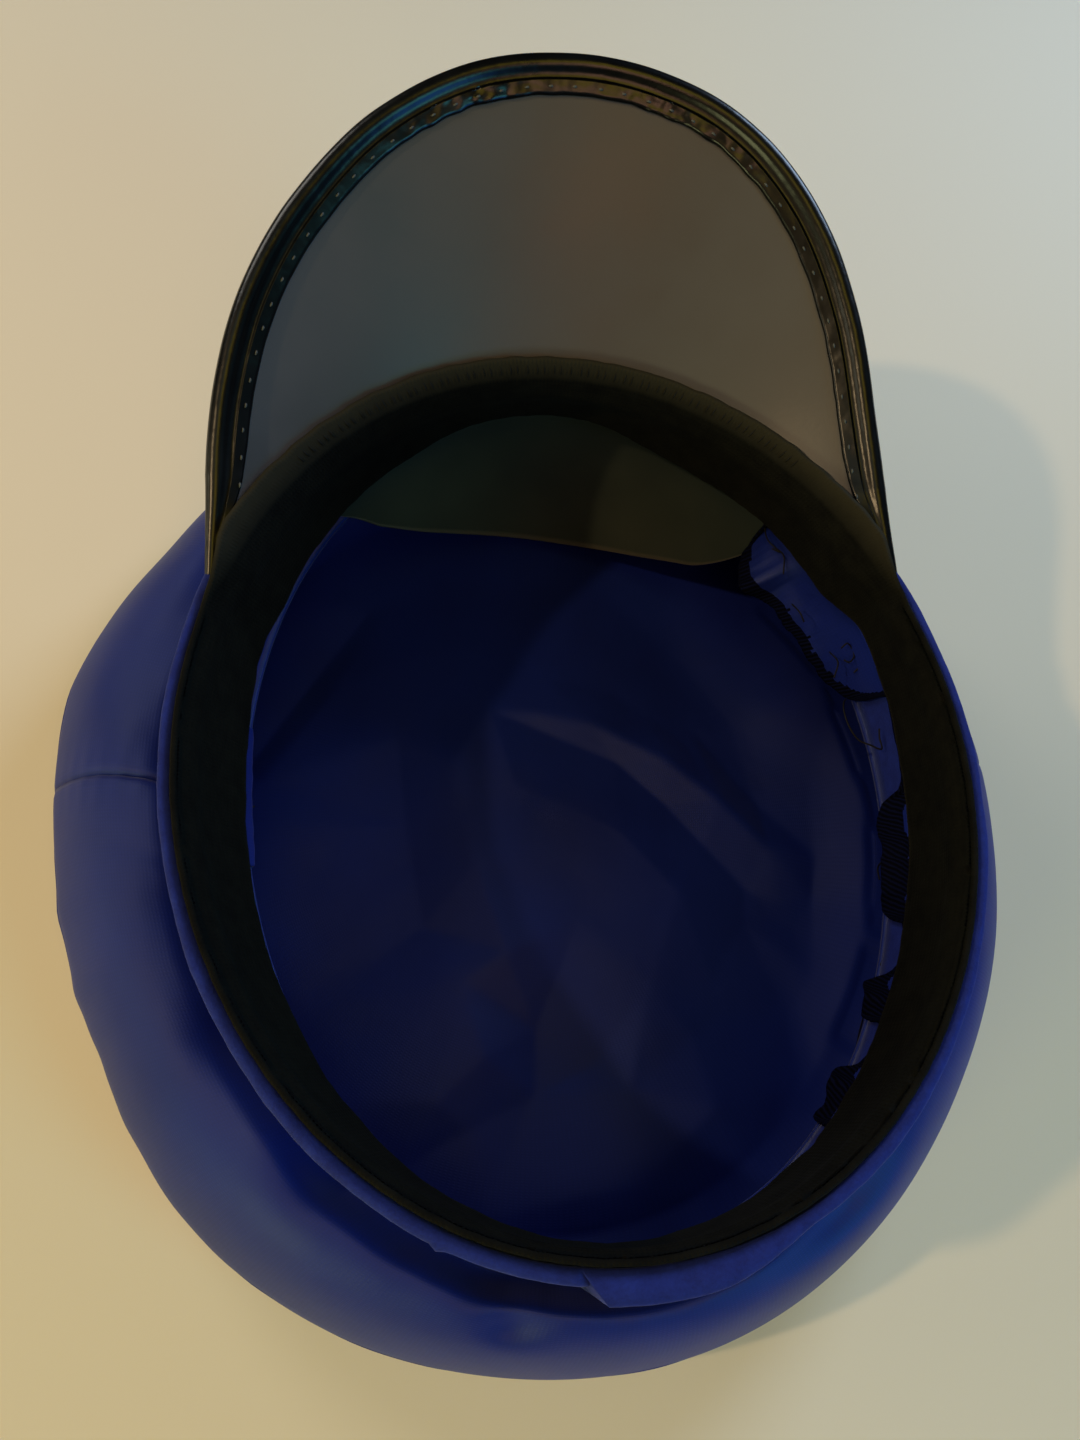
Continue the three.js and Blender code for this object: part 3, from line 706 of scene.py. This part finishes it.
def makeSidePanel(name, node, start, end):
    degrees = np.linspace(start, end, 260)[:, None]
    v = np.concatenate([np.linspace(0, 0.06, 5)[:-1], np.linspace(0.06, 1, 40)])
    seam = crown["seamHeight"] + gap / 2
    inset = fromTable(seamInset, degrees % 360) / crown["halfWidth"]
    edgeLine = onCrown(degrees, 1 - inset, seam)
    inner = degrees + 3 * bell(degrees - 180, 40)
    top = onBand(inner, band["height"] + gap, -0.4)
    bulge = edgeLine + (top - edgeLine) * sidePanel["bulge"]
    bulge[..., 2] = top[..., 2] + 1
    vv = v[None, :, None]
    outer = edgeLine * (1 - vv) ** 2 + bulge * 2 * vv * (1 - vv) + top * vv**2
    drop = np.zeros(outer.shape[:2])
    for angle, spread, depth, across in sideDents:
        drop += depth * bell(degrees - angle, spread) * bell(v - across, 0.13) * np.sin(np.pi * v) ** 0.5
    drop += fromTable(channel, degrees % 360) * smooth(v, 0.7, 0.945) * (1 - smooth(v, 0.965, 1.0))
    drop -= sidePanel["swell"] * bell(v - 0.42, 0.25) * bell((degrees - 40) % 360 - 180, 90)
    random = np.random.default_rng(7)
    for angle in np.arange(start + 5, end - 5, gathers["pitch"]):
        angle += random.uniform(*gathers["aside"])
        depth = random.uniform(*gathers["depth"])
        spread = random.uniform(*gathers["spread"])
        lean = (v - 1) * random.uniform(*gathers["lean"])
        drop += depth * bell(degrees - angle - lean, spread) * bell(v - 1.0, 0.3)
    for angle in (0, 180, 360):  # puckers beside the side seams
        wrinkles = np.sin(v * 60 + degrees * 0.4) * np.sin(np.pi * v)
        drop += sidePanel["pucker"] * bell(degrees - angle, 3.5) * wrinkles
        drop += sidePanel["seamGroove"] * bell(degrees - angle, 0.4)
    waves = ripple(outer, 34, 5) * 1.3 + ripple(outer, 14, 6) * 0.35
    drop -= waves * np.sin(np.pi * np.clip(v * 0.9 + 0.05, 0, 1))
    drop += sidePanel["edgeRoll"] * bell(v, 0.03)
    outer[..., 2] -= drop
    under = onBand(inner, band["height"] + gap, np.array([[0.8, band["wall"]]]))
    outer = np.concatenate([outer, under], 1)
    normals = -gridNormals(outer)
    normals[:, 0, 2] = 0
    normals = unit(normals)
    normals[:, -2:] = (0, 0, -1)
    inside = outer + normals * crown["wall"]
    piece = addLoops(name, np.concatenate([outer, inside[:, ::-1]], 1), [blueCloth])
    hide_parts(node)


makeCrownTop()
makeSidePanel("side_cloth_front", "side_panel_front", 0.02, 179.98)
makeSidePanel("side_cloth_back", "side_panel_back", 180.02, 359.98)
print("crown made")

# Tape inside the band
tape = {
    "wall": 1.2, "lip": 5.6, "plainLip": 0.7, "raise": 1.9, "plainRaise": 0.2, "slope": 48, "roll": 1.1,
    "nickAt": 301, "stitchPitch": 2.2, "stitchLength": 2.6, "stitchRadius": 0.13,
    "turns": 600, "hangRows": 24, "lipRows": 9,
}
# How far its lower edge leans in: angle, mm
tapeLean = [
    (0, 0.4), (30, 1.6), (60, 2.8), (90, 0.6), (120, 0.8), (150, 0.8), (165, 1.2), (180, 2.2),
    (200, 1.6), (215, 1.2), (240, 0.5), (270, 0.4), (300, 0.4), (330, 0.4), (360, 0.4),
]
# Depth of the tape's lower edge below the rim
tapeWidth = [
    (0, 22), (9, 19.5), (16, 18.4), (27, 21.3), (40, 20.2), (48, 20.8), (57, 22), (67, 21), (77, 18),
    (86, 17.2), (91, 17.4), (100, 18.6), (109, 20.4), (119, 23.5), (129, 24.5), (137, 24.5), (148, 26),
    (157, 27), (174, 28), (188, 28), (203, 27.5), (220, 27), (270, 27), (320, 26), (346, 23.6), (352, 22.9),
    (360, 22),
]
peak = {"wall": 1.6, "slope": 51, "flange": 8, "rise": 1.2, "right": 29.5, "left": 150.5}
peakInset = band["wall"] + gap + peak["wall"] / 2


def inPeakArc(degrees, start, end):
    rise = smooth(degrees, start, end)
    return rise * (1 - smooth(degrees, 180 - end, 180 - start))


def makeTape():
    degrees = np.linspace(0, 360, tape["turns"], endpoint=False)[:, None]
    arc = inPeakArc(degrees, 17, 26)
    lip = inPeakArc(degrees, 15, 29)
    inset = band["wall"] + gap + arc * (peak["wall"] + 2 * gap) + tape["wall"] / 2
    lean = fromTable(tapeLean, degrees)
    down = np.linspace(1, 0, tape["hangRows"] + 1)[:-1]
    ring = onBand(degrees, 0, 0)
    uneven = ripple(ring, 14, 31) * 0.7 + ripple(ring, 3, 32) * 0.35
    uneven = uneven - 1.1 * bell(degrees - tape["nickAt"], 1.2)
    depth = (fromTable(tapeWidth, degrees) + uneven) * down + 1 - down
    roll = tape["roll"] * bell(depth - 5, 3.4)
    hang = onBand(degrees, depth, inset + lean * down**1.5 + roll)
    raised = tape["plainRaise"] + (tape["raise"] - tape["plainRaise"]) * arc + lip * tape["wall"] * 0.22
    length = tape["plainLip"] + (tape["lip"] - tape["plainLip"]) * lip + lip * ripple(ring, 4, 33) * 0.35
    slope = math.radians(tape["slope"])
    outward, upward = lip * math.cos(slope), 1 + (math.sin(slope) - 1) * lip
    steps = np.linspace(0, 1, tape["lipRows"])
    flare = onBand(degrees, -raised - length * upward * steps, inset - length * outward * steps)
    middle = np.concatenate([hang, flare], 1)
    away = bandNormal(degrees)
    wave = ripple(middle, 20, 8) * 0.6 + ripple(middle, 7, 9) * 0.25
    wave = wave * np.concatenate([down**0.6, 0 * steps])
    middle = middle - away * np.abs(wave)[..., None]
    puckers = ripple(middle, 2.2, 34) * 0.12 * np.concatenate([down * 0 + 0.4, 0 * steps + 1])
    middle = middle + away * puckers[..., None]
    sections = ribbon(middle, tape["wall"], closed=True)
    rows = middle.shape[1]
    edge = np.zeros(sections.shape[:2])
    # Painted highlight: its lower edge is painted pale, most at the right, and the lip a little all along
    pale = 0.15 + 0.85 * bell((degrees + 3 + 180) % 360 - 180, 24) + 0.4 * ripple(ring, 25, 35)
    pale = pale.clip(0, 1)[:, 0]
    for k, value in ((0, 0.9), (1, 0.25)):
        edge[:, k] = value * pale
        edge[:, 2 * rows + 1 - k] = value * pale
    lipHighlight = 0.4 * lip[:, 0]
    for k in range(1 - tape["lipRows"], tape["lipRows"]):
        edge[:, rows + k] = lipHighlight * (1 - abs(k) / tape["lipRows"]) + 0.15 * lipHighlight
    piece = addLoops("tape_strip", sections, [blackTape], closed=True, edge=edge)
    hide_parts("sweatband")
    return middle


tapeMiddle = makeTape()


# Stitches across the tape's lip, where it is sewn to the peak
def stitchTape():
    turns = tape["turns"]
    row = tape["hangRows"] + tape["lipRows"] // 2
    degrees = np.linspace(0, 360, turns, endpoint=False)
    lips = np.where((degrees > 42) & (degrees < 138))[0]
    run = runAlong(tapeMiddle[lips, row])
    pick = lips[np.searchsorted(run, np.arange(1, run[-1], tape["stitchPitch"]))]
    up = unit(tapeMiddle[pick, row + 3] - tapeMiddle[pick, row - 2])
    side = unit(tapeMiddle[(pick + 1) % turns, row] - tapeMiddle[pick, row])
    inward = unit(np.cross(up, side))
    inward = inward * np.where(inward[:, 2:3] > 0, 1, -1)
    spots = tapeMiddle[pick, row] + inward * (tape["wall"] / 2 + 0.03)
    length, radius = tape["stitchLength"], tape["stitchRadius"]
    addStitches("tape_cross_stitches", spots, up, inward, length, radius, blackThread)


stitchTape()
print("tape made")

# Peak
peakDepth = [
    (24, 0), (30, 6.4), (40, 19.2), (50, 35.4), (60, 50.6), (70, 61.2), (80, 66.2), (90, 67.2),
    (100, 64.8), (110, 58.2), (120, 48.2), (130, 36.6), (140, 22.8), (150, 8.4), (156, 0),
]
binding = {
    "bead": 2.3,
    "beadCentre": 0.7,
    "flange": 5.4,
    "endFlange": 3.1,
    "slotGap": 0.45,
    "wall": 0.8,
    "groove": 0.3,
    "from": 21.5,
    "free": 32.0,
    "tuckDepth": 1.6,
    "tuckInset": 1.7,
    "stitchPitch": 6.0,
    "stitchInset": 3.9,
    "stitchLength": 1.2,
    "stitchRadius": 0.26,
    # How crinkled the flange is: angle, share
    "crinkle": [(24, 0.1), (30, 0.15), (60, 0.25), (72, 0.7), (79, 1), (84, 0.4), (94, 0.4), (99, 1),
        (106, 0.6), (112, 0.2), (156, 0.1)],
}


def peakOutline(degrees):
    slope = math.radians(peak["slope"])
    depth = np.maximum(fromTable(peakDepth, degrees), 0)
    rise = np.maximum(depth * math.sin(slope), peak["rise"])
    drift = onBand(degrees, -rise, 0) - onBand(degrees, 0, 0)
    drift[..., 2] = 0
    return onBand(degrees, -rise, -depth * math.cos(slope)) - drift


def peakFoot(degrees):
    return onBand(degrees, -peak["rise"], peakInset)


# Edge of the plate with its own directions: along the edge, outward in the plate, across it
def peakEdge(degrees):
    point = peakOutline(degrees)
    along = unit(peakOutline(degrees + 0.5) - peakOutline(degrees - 0.5))
    ruling = unit(point - peakFoot(degrees))
    across = unit(np.cross(ruling, along))
    outward = unit(np.cross(along, across))
    return point - outward * (binding["beadCentre"] + binding["bead"]), along, outward, across


def makePeak():
    degrees = np.linspace(peak["right"], peak["left"], 160)
    foot, rimLine = peakFoot(degrees), peakEdge(degrees)[0]
    flange = onBand(degrees[:, None], peak["flange"] * np.array([1, 0.625, 0.3]), peakInset)
    v = np.linspace(0, 1, 46)[None, :, None]
    plate = foot[:, None] * (1 - v) + rimLine[:, None] * v
    middle = np.concatenate([flange, plate], 1)
    sections = ribbon(middle, peak["wall"])
    slots = np.zeros(sections.shape[1], int)
    slots[: middle.shape[1]] = 1  # the outer face
    piece = addLoops("peak_plate", sections, [greySheet, vinyl], slotOf=slots)
    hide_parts("peak")


def makeBinding():
    start, free = binding["from"], binding["free"]
    degrees = np.linspace(start, 180 - start, 560)
    point, _, outward, across = peakEdge(degrees)
    fromEnd = np.minimum(degrees, 180 - degrees)
    tuck = np.clip((free - fromEnd) / (free - start), 0, 1)
    leaves = np.where(degrees < 90, free, 180 - free)
    ends = np.where(degrees < 90, start, 180 - start)
    inside = onBand(ends, binding["tuckDepth"], binding["tuckInset"])
    straight = peakEdge(leaves)[0] * (1 - tuck[:, None]) + inside * tuck[:, None]
    point = np.where(tuck[:, None] > 0, straight, point)
    near = 18  # points on each side that round the bend
    weights = bell(np.arange(-near, near + 1), 8)
    padded = np.concatenate([np.repeat(point[:1], near, 0), point, np.repeat(point[-1:], near, 0)])
    rounded = np.stack([np.convolve(padded[:, k], weights / weights.sum(), "valid") for k in range(3)], -1)
    nearBend = bell(fromEnd - free, 4)[:, None]
    point = point * (1 - nearBend) + rounded * nearBend
    along = unit(np.gradient(point, axis=0))
    across = unit(across - along * (across * along).sum(1, keepdims=True))
    turned = unit(np.cross(along, across))
    outward = turned * np.sign((turned * outward).sum(1, keepdims=True))
    slotHalf = peak["wall"] / 2 + binding["slotGap"]
    face = slotHalf + binding["wall"]
    # Points of its section: how far outward and across, and 1 on the flange
    upper = [(-1.0, slotHalf), (-1.04, slotHalf + 0.35), (-0.98, face - 0.15)]
    upper += [(-0.93 + 0.5 * step, face) for step in np.linspace(0, 1, 9)]
    shapes = [(x * binding["flange"], y, 1) for x, y in upper]
    shapes += [(-2.5, face - 0.12, 0), (-1.9, face - 0.25, 0), (-1.3, face - binding["groove"], 0)]
    bead = [
        (binding["beadCentre"] + binding["bead"] * math.cos(a), binding["bead"] * math.sin(a), 0)
        for a in np.radians(np.linspace(125, -125, 21))
    ]
    lower = [(x, -y, w) for x, y, w in reversed(shapes)]
    section = np.array(shapes + bead + lower + [(gap, -slotHalf, 0), (gap, slotHalf, 0)])
    share = inPeakArc(degrees, 24, 38)[:, None]
    width = binding["endFlange"] / binding["flange"]
    size = (1 - 0.45 * tuck)[:, None]
    x = section[:, 0] * np.where(section[:, 2] > 0, width + (1 - width) * share, 1) * size
    slot = np.abs(section[:, 1]) < slotHalf + 0.01
    y = section[:, 1] * size * (1 - 0.85 * slot * smooth(tuck, 0.3, 0.6)[:, None])
    sections = point[:, None] + outward[:, None] * x[..., None] + across[:, None] * y[..., None]
    rough = fromTable(binding["crinkle"], degrees)[:, None]
    crinkle = ripple(sections, 3.2, 11) * 0.4 + ripple(sections, 1.5, 12) * 0.16
    tops = section[:, 2] * (np.abs(section[:, 1]) > slotHalf + 0.3)
    ragged = ripple(sections, 4.5, 13) * 0.7 * section[:, 2] * (x < -4) * (0.12 + 0.6 * rough)
    onBead = ripple(sections, 12, 14) * 0.12 * (1 - section[:, 2])
    lift = crinkle * tops * np.sign(section[:, 1]) * rough
    sections = sections + across[:, None] * lift[..., None]
    sections = sections + outward[:, None] * (ragged + onBead)[..., None]
    piece = addLoops("peak_edging", sections, [vinyl])
    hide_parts("peak_binding")
    return point, along, outward, across, face


makePeak()
bindingPath = makeBinding()


# The binding's stitches on the inner face, a pale dot every six millimetres
def stitchBinding():
    point, along, outward, across, face = bindingPath
    run = runAlong(point)
    pick = np.searchsorted(run, np.arange(14, run[-1] - 14, binding["stitchPitch"]))
    inward = across[pick] * np.where(across[pick][:, 2:3] > 0, 1, -1)
    spots = point[pick] - outward[pick] * binding["stitchInset"] + inward * (face + 0.02)
    length, radius = binding["stitchLength"], binding["stitchRadius"]
    addStitches("edging_stitches", spots, along[pick], inward, length, radius, greyThread)


stitchBinding()
print("peak made")

# Front stay
stay = {
    "wall": 1.0, "topDepth": 9.6, "left": 137, "right": 39, "inset": 3.3, "corner": 0.42, "cornerFrom": 0.8,
    "middle": 5, "halfWidth": 55, "y": 101.5, "bow": 28, "skew": -3.5, "bendDepth": 26, "edgeHighlight": 0.4,
}
# Height of the stay's lower edge: share of the half width, mm above the floor
stayFoot = [
    (-1, 52), (-0.9, 44.5), (-0.8, 36.8), (-0.6, 25), (-0.4, 17.5), (-0.2, 13.2), (0, 11.4), (0.2, 11.8),
    (0.4, 15), (0.6, 20.8), (0.8, 29.8), (0.9, 35.5), (1, 42),
]


def makeStay():
    side = np.linspace(-1, 1, 120)[:, None]
    degrees = stay["left"] + (stay["right"] - stay["left"]) * (side + 1) / 2
    inset = stay["inset"] + stay["wall"] / 2
    upper = onBand(degrees, np.linspace(stay["topDepth"], stay["bendDepth"] - 1, 6), inset)
    bend = onBand(degrees, stay["bendDepth"], inset)
    low = band["height"] + 5
    pull = onBand(degrees, low + (stay["bendDepth"] + 3 - low) * side**2, inset + 0.5)
    x = stay["middle"] + stay["halfWidth"] * side
    y = stay["y"] - stay["bow"] * side**2 + stay["skew"] * side
    foot = np.stack([x, y, fromTable(stayFoot, side)], -1)
    past = np.maximum(np.abs(side) - stay["cornerFrom"], 0) / (1 - stay["cornerFrom"])
    end = 1 - stay["corner"] * (1 - np.sqrt(np.maximum(1 - past**2, 0)))
    v = (np.linspace(0, 1, 34) * end)[..., None]
    lower = bend * (1 - v) ** 2 + pull * 2 * v * (1 - v) + foot * v**2
    middle = np.concatenate([upper, lower], 1)
    sections = ribbon(middle, stay["wall"])
    rows = middle.shape[1]
    edge = np.zeros(sections.shape[:2])
    # Painted highlight: the rows along the lower edge are paled as a thin lit line
    edge[:, rows - 1 : rows + 2] = stay["edgeHighlight"]
    piece = addLoops("stay_plate", sections, [staySheet], edge=edge)
    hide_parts("front_stay")


makeStay()

# Loose seam edge
seamEdge = {"belowTape": 1.6, "topInset": 3.6, "wall": 0.8, "border": 5.0}
# Free edge of the seam allowance: angle, depth below the rim, inset from the band's outer face
seamRuffles = [
    (-56, 0, 3.6), (-54, 35, 4), (-51, 36, 4.4), (-48.5, 34, 7.0), (-45, 35, 4.4), (-43, 0, 3.6),
    (-40.5, 0, 3.6), (-38, 35, 4), (-35.5, 33, 6.6), (-32, 35, 4.4), (-30, 0, 3.6), (-27.5, 0, 3.6),
    (-24, 33, 4.4), (-20, 32, 6.8), (-14.5, 31, 7.4), (-8, 31, 5.4), (-4.5, 0, 3.6), (1, 0, 3.6),
    (5, 0, 3.6), (7.5, 33, 3.8), (10.5, 40, 6), (14, 41, 8), (19.5, 40, 10), (25, 40, 11), (29, 40, 12.5),
    (31.5, 38, 17), (34, 39, 15), (36.5, 39, 12), (39, 34, 7), (41, 0, 3.6),
]
leftEdge = {"from": 175, "to": 194, "topDepth": 29, "lowDepth": 33, "inset": 5.2, "wall": 0.6}


def makeSeamEdge():
    degrees = np.linspace(seamRuffles[0][0], seamRuffles[-1][0], 420)[:, None]
    rows = np.array(seamRuffles, float)
    ring = onBand(degrees, 30, 4)
    top = fromTable(tapeWidth, degrees % 360) + seamEdge["belowTape"]
    low = fromTable(rows[:, :2], degrees) + 0.9 * ripple(ring, 3.5, 41) + 0.5 * ripple(ring, 1.2, 42)
    low = np.maximum(low, top + 0.3)
    reach = fromTable(rows[:, ::2], degrees)
    row = np.linspace(0, 1, 20)
    depth = top + (low - top) * row
    inset = seamEdge["topInset"] + (reach - seamEdge["topInset"]) * row**1.6
    middle = onBand(degrees, depth, inset)
    middle = middle + bandNormal(degrees) * (ripple(middle, 5, 43) * 0.6 * row)[..., None]
    sections = ribbon(middle, seamEdge["wall"])
    left = (1 - row) * (low - top + np.abs(reach - seamEdge["topInset"]))
    # The navy border is real overlock thread, widened by 5 mm below about 5 to 12 degrees as painted shade
    # where the loose edge hangs in dark gaps
    wide = seamEdge["border"] + 5 * (1 - smooth(degrees, 5, 12))
    wide = wide + ripple(ring, 6, 45) * 0.9 + ripple(ring, 1.6, 46) * 1.1
    border = (left < wide).astype(int)
    slots = np.concatenate([border, border[:, -1:], border[:, ::-1], border[:, :1]], 1)
    piece = addLoops("seam_edge", sections, [blueCloth, overlockAndShadeCloth], slotOf=slots)
    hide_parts("seam_allowance")


# The same raw edge shows at the left as a pale strip under the tape
def makeLeftEdge():
    start, end, top = leftEdge["from"], leftEdge["to"], leftEdge["topDepth"]
    degrees = np.linspace(start, end, 90)[:, None]
    row = np.linspace(0, 1, 8)
    fade = np.sin(np.pi * (degrees - start) / (end - start)) ** 0.4
    frayed = 0.5 * ripple(onBand(degrees, 30, 4), 2.5, 44)
    low = top + (leftEdge["lowDepth"] - top) * (0.5 + 0.5 * fade) + frayed
    middle = onBand(degrees, top + (low - top) * row, leftEdge["inset"] + 0.6 * row)
    piece = addLoops("seam_edge_left", ribbon(middle, leftEdge["wall"]), [blueCloth])


threadRadius = 0.22
# Loose threads at the seam allowance, as points in mm
looseThreads = [
    [(73.4, 32.4, 65.5), (74.8, 33.3, 66.5), (76.3, 32.5, 65.5), (76.4, 30.2, 65.5), (74.9, 28.5, 65.5),
     (73.5, 29.1, 65.5)],
    [(76.4, 26.6, 63.5), (78.6, 28.3, 65.5), (79.9, 29.6, 65.5)],
    [(73.3, 19.6, 62.5), (71.6, 17.7, 64.5), (70.7, 14.7, 65.5), (71.2, 10.9, 65.5), (73.3, 7.9, 64.5),
     (76, 6.4, 64.5), (78.8, 5.3, 64.5), (78.9, 8.2, 64.5), (78.8, 10.3, 65.5)],
    [(74.2, -41.1, 69), (72.6, -42.7, 64.5), (71.2, -43.8, 59.9), (70.5, -45.4, 57.4),
     (71.3, -48.3, 52.8), (70.9, -51.5, 48.3), (70.4, -54.7, 43.8), (70.3, -58.7, 39.2),
     (70.5, -62.6, 34.7), (69.7, -67.6, 28.2), (67, -73.4, 20.6), (65.1, -79.8, 13.1),
     (62.3, -82.7, 8.5), (59.5, -85, 7)],
    [(-71.4, -7.5, 58), (-70.6, -6.1, 56), (-69.7, -4.7, 55), (-68.5, -3.2, 54)],
    [(60.6, 72, 63), (60.6, 66.8, 63), (62.5, 63.8, 63), (64.3, 61.4, 63), (63.7, 56.4, 62)],
    [(61.4, 63.7, 63), (63.4, 62.5, 63)],
    [(64.5, 47.3, 62), (65.1, 43.7, 64), (66.3, 41.4, 63)],
    [(72, 33.3, 62), (72.6, 29.3, 64), (71.2, 25.4, 63)],
    [(74.6, -21.6, 62), (74.3, -22.6, 59), (74.6, -25.2, 58)],
]


makeSeamEdge()
makeLeftEdge()
addThreads("loose_threads", looseThreads, threadRadius, blackThread)
print("stay and seam edge made")

# Floor and light
floor = {"colour": "#d8cfba", "size": 6000, "drop": 0.1}
# Round lamps: turn and height in degrees as seen from the hat, away and size in mm, power, colour
lights = {
    "coolFront": (45, 36, 900, 350, 3.92, "#c5dfff"),
    "key": (188, 47, 1200, 45, 3.84, "#ffdba6"),
    "leftLow": (180, 14, 900, 350, 1.10, "#fff4cf"),
    "lowBack": (225, 14, 900, 350, 2.69, "#fdffb7"),
    "leftFront": (135, 36, 900, 350, 1.69, "#fff9f0"),
    "coolRight": (315, 36, 900, 350, 1.37, "#7ff5ff"),
    "warmBack": (270, 55, 900, 350, 1.24, "#ffc09a"),
    "lowRight": (315, 14, 900, 350, 1.55, "#3b92ff"),
    "warmTop": (270, 76, 900, 350, 0.80, "#ffde45"),
    "top": (180, 76, 900, 350, 0.17, "#e8fff5"),
}
lightsAimAt = Vector((0, 0, 30))


# Plain matt board: pale, with no pattern of its own
def paleBoard(tree, place):
    return {"Base Color": toLinear(floor["colour"]), "Roughness": 0.75}


def addStage():
    half = floor["size"] / 2
    corners = [(-half, -half), (half, -half), (half, half), (-half, half)]
    mesh = bpy.data.meshes.new("floor")
    mesh.from_pydata([Vector((x, y, -floor["drop"])) * mm for x, y in corners], [], [(0, 1, 2, 3)])
    mesh.materials.append(newMaterial("plainPaleFloor", paleBoard))
    ground = putObject("floor", mesh)
    for name, (turn, height, away, size, power, colour) in lights.items():
        data = bpy.data.lights.new(name, "AREA")
        data.shape, data.size, data.energy = "DISK", size * mm, power
        data.color = toLinear(colour)[:3]
        lamp = putObject(name, data)
        turn, height = math.radians(turn), math.radians(height)
        flat = math.cos(height)
        place = Vector((math.cos(turn) * flat, math.sin(turn) * flat, math.sin(height))) * away
        lamp.location = place * mm
        lamp.rotation_euler = (lightsAimAt - place).to_track_quat("-Z", "Y").to_euler()
    sky = bpy.data.worlds.new("plainSky")
    sky.use_nodes = True
    sky.node_tree.nodes["Background"].inputs["Strength"].default_value = 0  # the lamps give all the light
    bpy.context.scene.world = sky
    bpy.context.scene.view_settings.view_transform = "Standard"


addCamera()
addStage()
print("stage set")
